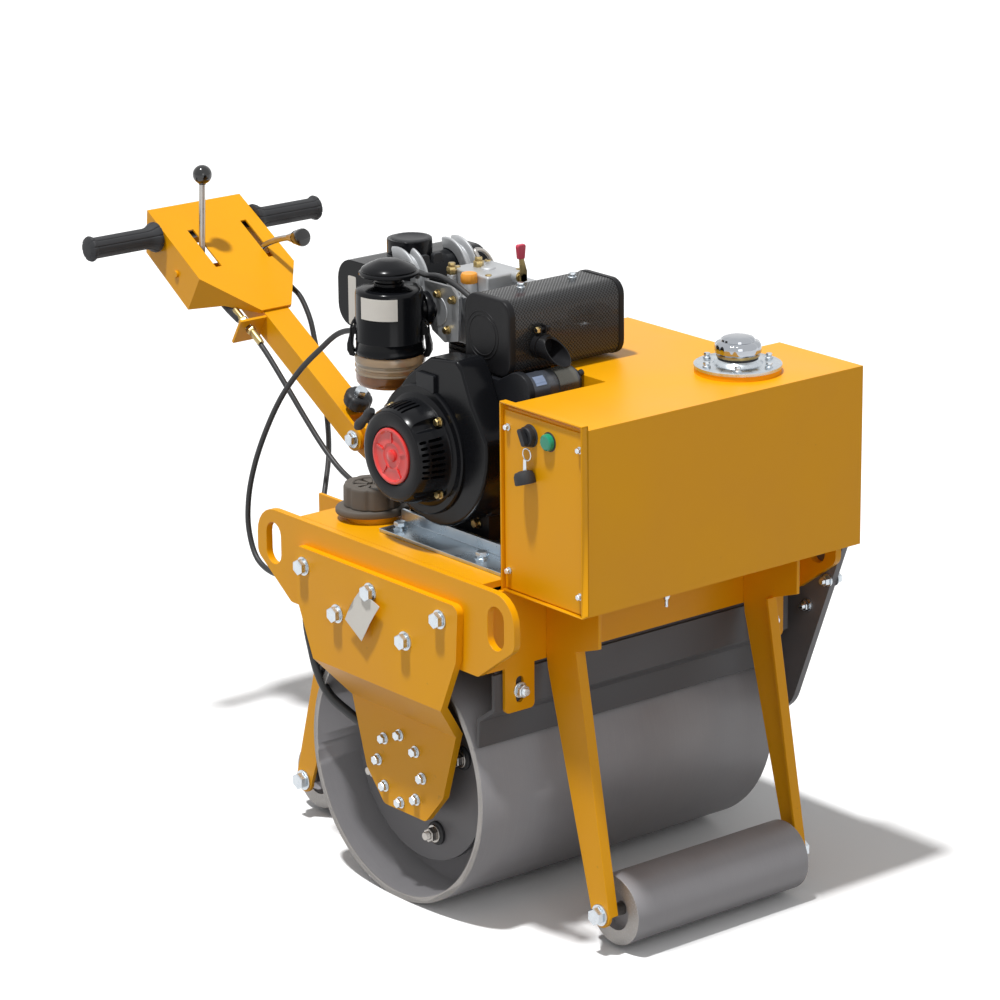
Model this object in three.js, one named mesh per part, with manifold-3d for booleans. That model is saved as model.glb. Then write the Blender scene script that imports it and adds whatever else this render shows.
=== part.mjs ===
// Walk-behind single-drum road roller. Millimetres, +Z up, +X ahead of the operator, +Y the machine's left.
import * as THREE from "three";
import { mergeVertices } from "three/addons/utils/BufferGeometryUtils.js";
import Module from "manifold-3d";

const wasm = await Module();
wasm.setup();

// ---------- driving dimensions ----------
const seatGap = 0.3;              // between pieces that touch
const roundSides = 48;            // facets of a large round
const smallSides = 24;            // facets of a small round

const drum = { radius: 212.5, width: 598, wall: 10, webInset: 96, web: 12, shaftRadius: 20, shaftRun: 34 };
const side = { thick: 12, drumGap: 19, overhang: 106.5, centreX: 11, height: 142, endHeight: 62,
  slopeRun: 86 };
const ear = { holeWidth: 38, holeHeight: 68, inset: 43, lift: 16, corner: 46 };
const deck = { thick: 10, drumGap: 144.5, rearInset: 4.5, frontInset: 7.5 };
const cross = { thick: 10, ahead: 37.5, depth: 123 };
const tab = { thick: 6, width: 57, drop: 72, inset: 35, slotWidth: 15, slotLength: 42, slotDrop: 42 };
const bracket = { thick: 12, halfWidth: 204, centreX: 9, topDrop: 38, bendDrop: 214, lowerInset: 9,
  lowerRise: 90, lowerHalf: 130, footDrop: 70, footHalf: 52, midHalf: 96, corner: 14 };
const hub = { radius: 74, boreGap: 0.6, rimGap: 45.5, discThick: 10, discInset: 50, endGap: 8 };
const motor = { overTop: 127.5, overLow: 9.5, footHalf: 90, kneeRise: 25, radius: 92, depth: 34 };
const roller = { radius: 55, wall: 24, halfWidth: 175, groundGap: 9, ahead: 161.5, axleRadius: 10, plug: 14,
  boreGap: 0.6 };
const leg = { width: 50, footWidth: 42, fold: 18, thick: 6, sideGap: 10, topFront: 28, topRear: 34,
  gussetFront: 121, gussetRear: 108, neckDrop: 97, footRadius: 21 };
const scraper = { thick: 6, inset: 0, topDrop: 8.7, shelfDrop: 64.7, shelfIn: 36,
  lipDrop: 88.7, lipGap: 8,
  lipHeight: 46 };
const hood = { overlap: 7, length: 185, half: 275, skirt: 15.5, rise: 266.5, panel: 2.5, panelEdge: 4,
  wingRear: -28, wingFar: 200, wingNear: 52, neckRear: 114, neckNear: -78, bay: 5 };
const filler = { inset: 83, y: 112, riser: 8, riserRadius: 66, flange: 5, neckRadius: 32, neckRise: 12,
  capRadius: 34, capRise: 30 };
const keySwitch = { inset: 64, radius: 16, reach: 16 };
const lamp = { inset: 107, radius: 13, reach: 11, drop: 32 };
const rail = { footOuter: -276, footInner: -160, thick: 6, upright: -225, rise: 24, footRear: -62,
  rear: -72, frontGap: 7,
  leftNear: -30, leftFar: 44 };
const engine = { crankX: 18, crankRise: 146, rear: -88, front: 106, near: -195.7, far: 30, caseTop: 205,
  headRear: -92, headFront: 42, headNear: -130, headFar: 12, headTop: 352, coverRise: 32,
  coverRear: -78, coverFront: 14, coverNear: -118, coverFar: -42 };
const shroud = { front: -250, back: -196, radius: 110, lobe: 158, ductRear: 34, ductFront: 114,
  ductTop: 300 };
const recoil = { face: -312, baseRadius: 89, faceRadius: 68, rim: 10, badge: 42, dish: 3 };
const cleaner = { x: -122, y: -208, radius: 57, rise: 212.5, bowl: 44, body: 112, dome: 62, domeRadius: 48,
  neckRadius: 22, capHeight: 24, elbowX: -88, elbowRise: 325.5, elbowRadius: 21 };
const fuel = { near: -180, far: -288, right: -177, left: 44, rise: 271.5, height: 107, corner: 34,
  capX: -230, capY: -78, capRadius: 36, capRise: 25 };
const strap = { width: 24, yNear: -104, yFar: -4, thick: 18, wrap: 50 };
const muffler = { rear: 48, front: 151, right: -190, left: 38, rise: 272.5, height: 114, corner: 22, cap: 8,
  pipeY: -132, pipeRise: 41, pipeRadius: 15, pipeWall: 2.5, pipeReach: 46,
  portY: -70, portRise: 56, port: 24 };
const starter = { x: 176, rise: 110.5, radius: 25, far: -90, endRadius: 20, endRun: 6, plate: 12, rim: 31,
  plateRise: 12 };
const oilCap = { x: -130, y: -236, ring: 8, ringRadius: 40, knobRadius: 44, knobRise: 34, brim: 14,
  brimRadius: 54 };
const pivot = { behind: 250, rise: 14.5, pin: 10, lugHalf: 14, lugRadius: 24, cheekGap: 5, cheek: 6,
  pinOver: 4 };
const arm = { angle: 31, width: 50, depth: 41, start: 34, end: 425 };
const consoleBox = { tip: 295, fold: 391, rear: 569, rearLow: 536, tipHalf: 31, foldHalf: 98.6,
  rearHalf: 96.4, top: 25, low: -42, sheet: 3, chinU: 346, chinW: -3, slotWidth: 12, slotFrom: 411,
    slotTo: 506, slotNear: -46,
  slotFar: 64 };
const bar = { u: 522, w: 6, radius: 12.5, end: 236 };
const grip = { start: 114, end: 241, radius: 17, flange: 21, flangeThick: 6, plug: 4 };
const lever = { shaftU: 447, shaftW: -13, shaftRadius: 6, hub: 12, hubHalf: 8, rod: 4,
  nearTop: [524, 134], nearBall: 15, farTop: [365, 108], farKnob: 38, farKnobRadius: 13 };
const lock = { u: 46, radius: 23, height: 34, hex: 11, hexRise: 12 };
const clip = { u: 284, thick: 5, reach: 54, low: -30, high: 18, holeY: -56, holeW: 1 };
const cable = { radius: 5.5 };
const exit = { y: 86, w: -8, radius: 9 };

// ---------- derived levels ----------
const axisZ = drum.radius;
const deckTop = 2 * drum.radius + deck.drumGap + deck.thick;
const deckLow = deckTop - deck.thick;
const sideHalf = drum.radius + side.overhang;
const sideInner = drum.width / 2 + side.drumGap;
const sideOuter = sideInner + side.thick;
const plateLow = deckTop - side.height;
const hoodBase = deckTop - hood.skirt, hoodTop = deckTop + hood.rise;
const crossTop = hoodBase - seatGap;
const crossLow = crossTop - cross.depth;
const rollerZ = roller.radius + roller.groundGap;
const frontX = drum.radius + cross.ahead, rearCrossX = deck.rearInset - drum.radius;
const deckFront = frontX - deck.frontInset;
const hoodRear = frontX - hood.overlap, hoodFront = hoodRear + hood.length;
const rollerX = drum.radius + roller.ahead;
const pivotX = rearCrossX - pivot.behind;
const engineBase = deckTop + seatGap + rail.thick + seatGap;
const crankZ = deckTop + engine.crankRise;
const pivotZ = deckTop + pivot.rise;
const caseTopZ = engineBase + engine.caseTop;

// ---------- solid helpers ----------
function toManifold(geometry) {
  const g = geometry.index ? geometry.toNonIndexed() : geometry.clone();
  g.deleteAttribute("normal");
  g.deleteAttribute("uv");
  const m = mergeVertices(g, 1e-4);
  return new wasm.Manifold(new wasm.Mesh({ numProp: 3,
    vertProperties: new Float32Array(m.attributes.position.array),
      triVerts: new Uint32Array(m.index.array) }));
}
function toGeometry(solid) {
  const mesh = solid.getMesh();
  const g = new THREE.BufferGeometry();
  g.setAttribute("position", new THREE.BufferAttribute(new Float32Array(mesh.vertProperties), mesh.numProp));
  g.setIndex(new THREE.BufferAttribute(new Uint32Array(mesh.triVerts), 1));
  return g;
}
function join(...parts) {
  return toGeometry(parts.map(toManifold).reduce((a, b) => a.add(b)));
}
function cut(body, ...tools) {
  return toGeometry(tools.map(toManifold).reduce((a, b) => a.subtract(b), toManifold(body)));
}
function common(a, b) {
  return toGeometry(toManifold(a).intersect(toManifold(b)));
}
function box(x0, x1, y0, y1, z0, z1) {
  const g = new THREE.BoxGeometry(x1 - x0, y1 - y0, z1 - z0);
  return g.translate((x0 + x1) / 2, (y0 + y1) / 2, (z0 + z1) / 2);
}
function shapeOf(points, holes = []) {
  const s = new THREE.Shape(points.map(([a, b]) => new THREE.Vector2(a, b)));
  for (const h of holes) s.holes.push(new THREE.Path(h.map(([a, b]) => new THREE.Vector2(a, b))));
  return s;
}
function extrude(points, from, to, holes) {
  const g = new THREE.ExtrudeGeometry(shapeOf(points, holes), { depth: to - from, bevelEnabled: false,
    curveSegments: 8 });
  return g.translate(0, 0, from);
}
const turnXZ = new THREE.Matrix4().makeBasis(new THREE.Vector3(1, 0, 0), new THREE.Vector3(0, 0, 1),
  new THREE.Vector3(0, -1, 0));
const turnYZ = new THREE.Matrix4().makeBasis(new THREE.Vector3(0, 1, 0), new THREE.Vector3(0, 0, 1),
  new THREE.Vector3(1, 0, 0));
const plateXZ = (points, y0, y1, holes) => extrude(points, -y1, -y0, holes).applyMatrix4(turnXZ);
const plateYZ = (points, x0, x1, holes) => extrude(points, x0, x1, holes).applyMatrix4(turnYZ);
const plateXY = (points, z0, z1, holes) => extrude(points, z0, z1, holes);
function rod(axis, radius, from, to, a, b, sides = smallSides, radiusEnd = radius) {
  const g = new THREE.CylinderGeometry(radiusEnd, radius, to - from, sides);
  g.translate(0, (from + to) / 2, 0);
  if (axis === "x") return g.rotateZ(-Math.PI / 2).translate(0, a, b);
  if (axis === "z") return g.rotateX(Math.PI / 2).translate(a, b, 0);
  return g.translate(a, 0, b);
}
function turned(profile, sides = roundSides) {
  return new THREE.LatheGeometry(profile.map(([r, h]) => new THREE.Vector2(r, h)), sides);
}
function arcPoints(cx, cz, radius, from, to, steps) {
  return Array.from({ length: steps + 1 }, (_, i) => {
    const t = from + (to - from) * i / steps;
    return [cx + radius * Math.cos(t), cz + radius * Math.sin(t)];
  });
}
function rounded(points, radii, steps = 6) {
  const out = [];
  points.forEach((p, i) => {
    const r = Array.isArray(radii) ? radii[i] : radii;
    if (!r) { out.push(p); return; }
    const c = new THREE.Vector2(...p);
    const a = new THREE.Vector2(...points[(i + points.length - 1) % points.length]).sub(c).normalize();
    const b = new THREE.Vector2(...points[(i + 1) % points.length]).sub(c).normalize();
    const half = Math.acos(THREE.MathUtils.clamp(a.dot(b), -1, 1)) / 2;
    const centre = c.clone().add(a.clone().add(b).normalize().multiplyScalar(r / Math.sin(half)));
    const start = c.clone().add(a.clone().multiplyScalar(r / Math.tan(half))).sub(centre);
    const end = c.clone().add(b.clone().multiplyScalar(r / Math.tan(half))).sub(centre);
    const turn = Math.atan2(start.cross(end), start.dot(end));
    for (let k = 0; k <= steps; k++) {
      const q = start.clone().rotateAround(new THREE.Vector2(), turn * k / steps).add(centre);
      out.push([q.x, q.y]);
    }
  });
  return out;
}
function obround(cx, cz, width, height) {
  const r = width / 2, s = height / 2 - r;
  return [...arcPoints(cx, cz + s, r, 0, Math.PI, 8), ...arcPoints(cx, cz - s, r, Math.PI, 2 * Math.PI, 8)];
}
function rectangle(a0, a1, b0, b1) {
  return [[a0, b0], [a1, b0], [a1, b1], [a0, b1]];
}
function cord(points, radius, steps, sides = 8) {
  const path = new THREE.CatmullRomCurve3(points.map((p) => new THREE.Vector3(...p)), false, "centripetal");
  const ring = arcPoints(0, 0, radius, 0, 2 * Math.PI * (sides - 1) / sides, sides - 1);
  return new THREE.ExtrudeGeometry(shapeOf(ring), { steps, extrudePath: path, bevelEnabled: false });
}

// ---------- finishes ----------
const finish = (color, roughness, metalness) => new THREE.MeshStandardMaterial({ color, roughness,
  metalness });
const yellow = finish(0xf0a812, 0.4, 0.1);
const grey = finish(0x4c4b4d, 0.5, 0.2);
const black = finish(0x17171a, 0.3, 0.2);
const satinBlack = finish(0x202022, 0.5, 0.2);
const alloy = finish(0xb9bcbe, 0.45, 0.9);
const zinc = finish(0xb4bcc4, 0.35, 0.9);
const chrome = finish(0xdadde0, 0.12, 1);
const rubber = finish(0x1c1c1d, 0.75, 0);
const amber = finish(0xb8671c, 0.2, 0);
const red = finish(0xd8312a, 0.35, 0);
const green = finish(0x0f8f4f, 0.25, 0);
const orange = finish(0xf09a1a, 0.35, 0);

const root = new THREE.Group();
root.name = "road_roller";
function add(name, geometry, material) {
  const g = geometry.index ? geometry.toNonIndexed() : geometry;
  g.deleteAttribute("normal");
  g.computeVertexNormals();
  const mesh = new THREE.Mesh(g, material);
  mesh.name = name;
  root.add(mesh);
}

// ---------- frame ----------
function sideOutline() {
  const a = side.centreX - sideHalf, b = side.centreX + sideHalf;
  return rounded([[a, deckTop], [a, plateLow + side.endHeight], [a + side.slopeRun, plateLow],
    [b - side.slopeRun, plateLow], [b, plateLow + side.endHeight], [b, deckTop]],
  [ear.corner, 20, 12, 12, 20, ear.corner]);
}
function earHoles() {
  const z = plateLow + side.endHeight + ear.lift + ear.holeHeight / 8;
  return [-1, 1].map((s) => obround(side.centreX + s * (sideHalf - ear.inset), z, ear.holeWidth,
    ear.holeHeight));
}
add("right_side_plate", plateXZ(sideOutline(), -sideOuter, -sideInner, earHoles()), yellow);
add("left_side_plate", plateXZ(sideOutline(), sideInner, sideOuter, earHoles()), yellow);
const ringTop = deckTop + oilCap.ring;
add("deck_plate", join(box(rearCrossX, deckFront, -sideInner + seatGap, sideInner - seatGap, deckLow,
  deckTop),
  rod("z", oilCap.ringRadius, deckTop - 1, ringTop, oilCap.x, oilCap.y, roundSides)), yellow);

// cross plates, each with two slotted tabs that the scraper hangs on
function hanger(x0, x1, s) {
  const outer = sideInner - tab.inset, inner = outer - tab.width;
  const y0 = Math.min(s * outer, s * inner), y1 = Math.max(s * outer, s * inner);
  const low = crossLow - tab.drop;
  const slot = obround((y0 + y1) / 2, crossLow - tab.slotDrop + 4, tab.slotWidth, tab.slotLength);
  return plateYZ(rounded(rectangle(y0, y1, low, crossLow + 1), [8, 8, 0, 0]), x0, x1, [slot]);
}
function crossPlate(x0, top, tabX) {
  const wall = box(x0, x0 + cross.thick, -sideInner + seatGap, sideInner - seatGap, crossLow, top);
  return join(wall, hanger(tabX, tabX + tab.thick, -1), hanger(tabX, tabX + tab.thick, 1));
}
const frontTop = Math.min(deckLow, hoodBase) - seatGap;
add("front_cross_plate", crossPlate(frontX - cross.thick, frontTop, frontX - tab.thick), yellow);
add("rear_cross_plate", crossPlate(rearCrossX, deckLow - seatGap, rearCrossX), yellow);

// cranked plate that carries the drum on the right side
function crankedBracket() {
  const top = deckTop - bracket.topDrop, bend = deckTop - bracket.bendDrop;
  const low = axisZ + bracket.lowerRise, foot = axisZ - bracket.footDrop;
  const outerY = -(sideOuter + seatGap), lowY = -(drum.width / 2 - bracket.lowerInset);
  const t = bracket.thick, cx = bracket.centreX, rear = cx - bracket.halfWidth,
    front = cx + bracket.halfWidth;
  const section = [[outerY - t, top], [outerY, top], [outerY, bend + 4], [lowY + t, low + 4], [lowY + t,
    foot],
    [lowY, foot], [lowY, low], [outerY - t, bend]];
  const slab = plateYZ(section, rear, front);
  const outline = rounded([[rear, top], [rear + 6, low + 150], [rear + 44, bend],
    [cx - bracket.lowerHalf, low], [cx - bracket.midHalf, axisZ - 20], [cx - bracket.footHalf, foot],
    [cx + bracket.footHalf, foot], [cx + bracket.midHalf, axisZ - 20], [cx + bracket.lowerHalf, low],
    [front - 44, bend], [front - 6, low + 150], [front, top]],
  [bracket.corner, 0, 12, 12, 12, 12, 12, 12, 12, 12, 0, bracket.corner]);
  return common(slab, plateXZ(outline, outerY - t - 5, lowY + t + 5));
}
add("right_drum_bracket", crankedBracket(), yellow);

function alongY(geometry, x, z, flip) {
  // a turned piece stands along +Y from its base plane; flip sends it along -Y
  return (flip ? geometry.rotateX(Math.PI) : geometry).translate(x, 0, z);
}
const webOuter = drum.width / 2 - drum.webInset;
const lowFace = drum.width / 2 - bracket.lowerInset - bracket.thick;
function carrier(start) {
  // hub tube with its isolator disc, measured along the axle from the drum's middle plane
  const discRadius = drum.radius - drum.wall - hub.rimGap;
  const inner = webOuter + hub.endGap, disc = drum.width / 2 - hub.discInset;
  const bore = drum.shaftRadius + hub.boreGap;
  return turned([[bore, inner], [hub.radius, inner], [hub.radius, disc - hub.discThick],
    [discRadius, disc - hub.discThick], [discRadius, disc], [hub.radius, disc], [hub.radius, start],
    [bore, start], [bore, inner]]);
}
add("right_hub_carrier", alongY(carrier(lowFace - seatGap), 0, axisZ, true), grey);

function drivePlate() {
  const top = deckTop - bracket.topDrop, low = axisZ - bracket.footDrop - 10;
  const knee = axisZ + motor.kneeRise, right = [[motor.footHalf, low], [drum.radius + motor.overLow, knee],
    [drum.radius + motor.overTop, top]], left = right.map(([x, z]) => [-x, z]).reverse();
  const outline = rounded([...left, ...right], [10, 60, 40, 40, 60, 10]);
  const face = sideOuter + seatGap, back = face + bracket.thick;
  const cover = rod("y", motor.radius, back - 1, back + motor.depth, 0, axisZ, roundSides,
    motor.radius * 0.86);
  return join(plateXZ(outline, face, back), cover, alongY(carrier(face + 1), 0, axisZ, false));
}
add("left_drive_carrier", drivePlate(), grey);

// ---------- drum ----------
function drumGeometry() {
  const h = drum.width / 2, r = drum.radius, i = r - drum.wall, w0 = webOuter - drum.web, w1 = webOuter;
  const s = drum.shaftRadius, e = w1 + drum.shaftRun;
  return turned([[0, -e], [s, -e], [s, -w1], [i, -w1], [i, -h], [r, -h], [r, h], [i, h], [i, w1], [s, w1],
    [s, e], [0, e]], 96);
}
add("drum", drumGeometry().translate(0, 0, axisZ), grey);

// ---------- legs and support rollers ----------
function legGeometry(s, sideSign) {
  // s: +1 front, -1 rear; folded plate with its wide face outboard
  const footX = s * rollerX, topX = s > 0 ? frontX + leg.topFront : rearCrossX - leg.topRear;
  const wall = s > 0 ? frontX + seatGap : rearCrossX - seatGap;
  const gusset = s > 0 ? frontX + leg.gussetFront : rearCrossX - leg.gussetRear;
  const neck = crossTop - leg.neckDrop, tip = s > 0 ? crossTop : deckLow - seatGap;
  const half = leg.width / 2, foot = leg.footWidth / 2;
  const outline = [[wall, tip], [wall, crossLow + 10], [topX - s * half, neck - 40],
    [footX - s * foot, rollerZ], ...arcPoints(footX, rollerZ, leg.footRadius, s > 0 ? Math.PI : 0,
      s > 0 ? 2 * Math.PI : -Math.PI, 8).slice(1), [topX + s * half + s * 16, neck], [gusset, neck + 18],
    [gusset, tip]];
  const outer = roller.halfWidth + leg.sideGap + leg.fold;
  const y0 = sideSign < 0 ? -outer : outer - leg.thick, y1 = sideSign < 0 ? -outer + leg.thick : outer;
  const face = plateXZ(outline, y0, y1);
  const inner = outer - leg.fold;
  const e0 = sideSign < 0 ? -outer : inner, e1 = sideSign < 0 ? -inner : outer;
  const flange = [[footX + s * leg.footRadius, rollerZ], [topX + s * half + s * 16, neck],
    [topX + s * half + s * 10, neck], [footX + s * (leg.footRadius - leg.thick), rollerZ]];
  return join(face, plateXZ(flange, e0, e1));
}
for (const [end, s] of [["front", 1], ["rear", -1]]) {
  for (const [name, t] of [["right", -1], ["left", 1]]) {
    const hole = rod("y", roller.axleRadius + seatGap, -300, 300, s * rollerX, rollerZ);
    add(`${end}_${name}_leg`, cut(legGeometry(s, t), hole), yellow);
  }
  const over = roller.halfWidth + leg.sideGap + leg.fold + 10;
  add(`${end}_roller_axle`, rod("y", roller.axleRadius, -over, over, s * rollerX, rollerZ), zinc);
  const bore = roller.axleRadius + roller.boreGap, r = roller.radius, i = r - roller.wall,
    h = roller.halfWidth;
  const p = h - roller.plug;
  add(`${end}_support_roller`, turned([[bore, -p], [i, -p], [i, -h], [r, -h], [r, h], [i, h], [i, p], [bore,
    p],
    [bore, -p]]).translate(s * rollerX, 0, rollerZ), grey);
}

// ---------- scrapers ----------
const scraperHalf = drum.width / 2 - scraper.inset;
function scraperProfile(face, s) {
  // face: plane of the hanger the scraper hangs on; the lip ends close to the drum
  const t = scraper.thick, top = crossLow - scraper.topDrop, shelf = crossLow - scraper.shelfDrop;
  const lipTop = crossLow - scraper.lipDrop, lipZ = lipTop - scraper.lipHeight;
  const reach = Math.sqrt((drum.radius + scraper.lipGap) ** 2 - (lipZ - axisZ) ** 2);
  const nearest = drum.radius + scraper.lipGap + t;
  const out = face;
  const knee = Math.max(face - scraper.shelfIn, Math.sqrt(nearest ** 2 - (lipTop - axisZ) ** 2) + t);
  const pts = [[out, top], [out - t, top], [out - t, shelf + 2],
    [knee - t, lipTop + 2], [reach, lipZ], [reach + t, lipZ], [knee + 1, lipTop - 2],
    [out, shelf - 2]];
  return pts.map(([x, z]) => [s * x, z]);
}
add("front_scraper", plateXZ(scraperProfile(frontX - tab.thick - seatGap, 1), -scraperHalf,
  scraperHalf), grey);
add("rear_scraper", plateXZ(scraperProfile(-rearCrossX - tab.thick - seatGap, -1), -scraperHalf,
  scraperHalf), grey);

// ---------- hood with its tanks ----------
const wing = [[hoodRear + 20, hood.neckNear], [hood.neckRear, hood.neckNear], [hood.neckRear, hood.wingNear],
  [hood.wingRear, hood.wingNear], [hood.wingRear, hood.wingFar], [hoodRear + 20, hood.wingFar]].reverse();
const riserTop = hoodTop + filler.riser, fillerX = hoodRear + filler.inset;
add("hood", join(box(hoodRear, hoodFront, -hood.half, hood.half, hoodBase, hoodTop),
  plateXY(wing, deckTop + seatGap, hoodTop),
  rod("z", filler.riserRadius, hoodTop - 1, riserTop, fillerX, filler.y, roundSides)), yellow);
const e = hood.panelEdge;
add("tank_side_panel", box(hoodRear + e, hoodFront - e, -hood.half - seatGap - hood.panel,
  -hood.half - seatGap, hoodBase + e, hoodTop - e), yellow);
const panelFace = hood.half + hood.panel + 2 * seatGap;
add("key_switch", rod("y", keySwitch.radius, -panelFace - keySwitch.reach, -panelFace,
  hoodRear + keySwitch.inset,
  hoodTop - lamp.drop), black);
add("indicator_lamp", rod("y", lamp.radius, -panelFace - lamp.reach, -panelFace, hoodRear + lamp.inset,
  hoodTop - lamp.drop), green);
const capBase = riserTop + filler.flange + filler.neckRise;
add("tank_cap", turned([[0, riserTop + seatGap], [filler.riserRadius, riserTop + seatGap],
  [filler.riserRadius, riserTop + filler.flange], [filler.neckRadius, riserTop + filler.flange],
  [filler.neckRadius, capBase], [filler.capRadius, capBase + 3], [filler.capRadius, capBase + 14],
  [filler.capRadius * 0.72, capBase + filler.capRise], [0, capBase + filler.capRise]])
  .rotateX(Math.PI / 2).translate(fillerX, filler.y, 0), chrome);

// ---------- engine on its rails ----------
const railFront = hoodRear - rail.frontGap;
const footLow = deckTop + seatGap, footHigh = footLow + rail.thick;
add("right_engine_rail", join(
  box(rail.footRear, railFront, rail.footOuter, rail.footInner, footLow, footHigh),
  box(rail.rear, railFront, rail.upright, rail.upright + rail.thick, footLow, footHigh + rail.rise - 6)),
    zinc);
add("left_engine_rail", box(rail.rear, engine.front, rail.leftNear, rail.leftFar, footLow, footHigh), zinc);
const starterZ = crankZ + starter.rise;
const starterPlate = [[engine.front - 16, crankZ + 14], [starter.x - 36, crankZ + 44],
  ...arcPoints(starter.x, starterZ, starter.rim, -0.5 * Math.PI, 0.72 * Math.PI, 14),
  [starter.x - starter.rim - 12, starterZ + starter.plateRise], [engine.front - 16,
    starterZ + starter.plateRise]];
add("crankcase", join(box(engine.rear, engine.front, engine.near, engine.far, engineBase, caseTopZ),
  plateXZ(starterPlate, engine.near, engine.near + starter.plate),
  box(engine.headRear + 12, engine.headFront - 8, engine.headNear + 8, engine.headFar - 6, caseTopZ - 10,
    engineBase + engine.headTop - 80)), satinBlack);
const headLow = engineBase + engine.headTop - 80 + seatGap, headHigh = engineBase + engine.headTop;
add("cylinder_head", join(box(engine.headRear, engine.headFront, engine.headNear, engine.headFar, headLow,
  headHigh), box(engine.coverRear, engine.coverFront, engine.coverNear, engine.coverFar, headHigh - 1,
  headHigh + engine.coverRise)), alloy);
function shroudOutline() {
  const steps = 28, pts = [];
  for (let k = 0; k <= steps; k++) {
    const t = Math.PI * (0.86 + 1.22 * k / steps);
    const grow = Math.max(0, (k / steps - 0.5) / 0.5);
    const r = shroud.radius + (shroud.lobe - shroud.radius) * grow;
    pts.push([engine.crankX + r * Math.cos(t), crankZ + r * Math.sin(t)]);
  }
  pts.push([shroud.ductFront + 22, crankZ + 92], [shroud.ductFront, deckTop + shroud.ductTop - 12],
    [shroud.ductFront - 14, deckTop + shroud.ductTop], [shroud.ductRear, deckTop + shroud.ductTop - 8],
    [engine.crankX - 36, crankZ + 110],
    [engine.crankX - 64, crankZ + 80]);
  return pts;
}
add("fan_shroud", plateXZ(shroudOutline(), shroud.front, shroud.back), black);
const coverBase = -shroud.front + seatGap, coverFace = -recoil.face;
add("recoil_starter", alongY(turned([[0, coverBase], [recoil.baseRadius, coverBase],
  [recoil.baseRadius, coverBase + 8], [recoil.baseRadius - 7, coverBase + 10],
  [recoil.faceRadius + 9, coverFace - recoil.rim - 4], [recoil.faceRadius, coverFace - 2],
  [recoil.faceRadius - 6, coverFace], [recoil.badge + 3, coverFace], [recoil.badge + 1,
    coverFace - recoil.dish],
  [0, coverFace - recoil.dish]]), engine.crankX, crankZ, true), black);
add("recoil_badge", rod("y", recoil.badge, -coverFace + 0.5, -coverFace + recoil.dish - seatGap,
  engine.crankX,
  crankZ, roundSides), red);

// air cleaner: bowl, body, mushroom cap
const bowlLow = deckTop + cleaner.rise, bowlTop = bowlLow + cleaner.bowl,
  bodyTop = bowlTop + seatGap + cleaner.body;
add("air_cleaner_bowl", turned([[0, bowlLow], [cleaner.radius - 14, bowlLow],
  [cleaner.radius - 5, bowlLow + 8], [cleaner.radius - 3, bowlTop], [0, bowlTop]], roundSides)
  .rotateX(Math.PI / 2).translate(cleaner.x, cleaner.y, 0), amber);
const elbowReach = Math.sqrt(cleaner.radius ** 2 - (cleaner.elbowX - cleaner.x) ** 2) + cleaner.y;
add("air_cleaner", join(turned([[0, bowlTop + seatGap], [cleaner.radius + 1, bowlTop + seatGap],
  [cleaner.radius + 1, bowlTop + 12], [cleaner.radius - 3, bowlTop + 13], [cleaner.radius - 3, bodyTop - 8],
  [cleaner.radius - 8, bodyTop], [cleaner.neckRadius, bodyTop + 6], [cleaner.neckRadius, bodyTop + 18],
  [cleaner.domeRadius, bodyTop + 20], [cleaner.domeRadius, bodyTop + 27], [cleaner.domeRadius - 16,
    bodyTop + 40], [cleaner.neckRadius - 8, bodyTop + cleaner.dome - 16], [0, bodyTop + cleaner.dome - 14]])
  .rotateX(Math.PI / 2).translate(cleaner.x, cleaner.y, 0), rod("y", cleaner.elbowRadius, elbowReach - 14,
  engine.headNear - seatGap, cleaner.elbowX, deckTop + cleaner.elbowRise)), satinBlack);

// fuel tank and its straps
const fuelLow = deckTop + fuel.rise, fuelTop = fuelLow + fuel.height;
const tankOutline = rounded([[fuel.far, fuelLow], [fuel.near, fuelLow], [fuel.near, fuelTop],
  [fuel.far, fuelTop]], fuel.corner);
add("fuel_tank", join(plateXZ(tankOutline, fuel.right, fuel.left),
  rod("z", fuel.capRadius, fuelTop - 12, fuelTop + fuel.capRise, fuel.capX, fuel.capY)), black);
function strapGeometry(y) {
  const x0 = engine.headRear - seatGap, r = fuel.corner + 2 * seatGap, end = strap.wrap * Math.PI / 180;
  const cx = fuel.near - fuel.corner, cz = fuelTop - fuel.corner;
  const inside = arcPoints(cx, cz, r, 0, end, 8), outside = arcPoints(cx, cz, r + strap.thick, end, 0.6, 5);
  const pts = [...inside, ...outside, [x0, headHigh - 12], [x0, headHigh - 46], [cx + r, cz - 26]];
  return plateXZ(pts, y - strap.width / 2, y + strap.width / 2);
}
add("right_tank_strap", strapGeometry(strap.yNear), alloy);
add("left_tank_strap", strapGeometry(strap.yFar), alloy);

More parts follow.
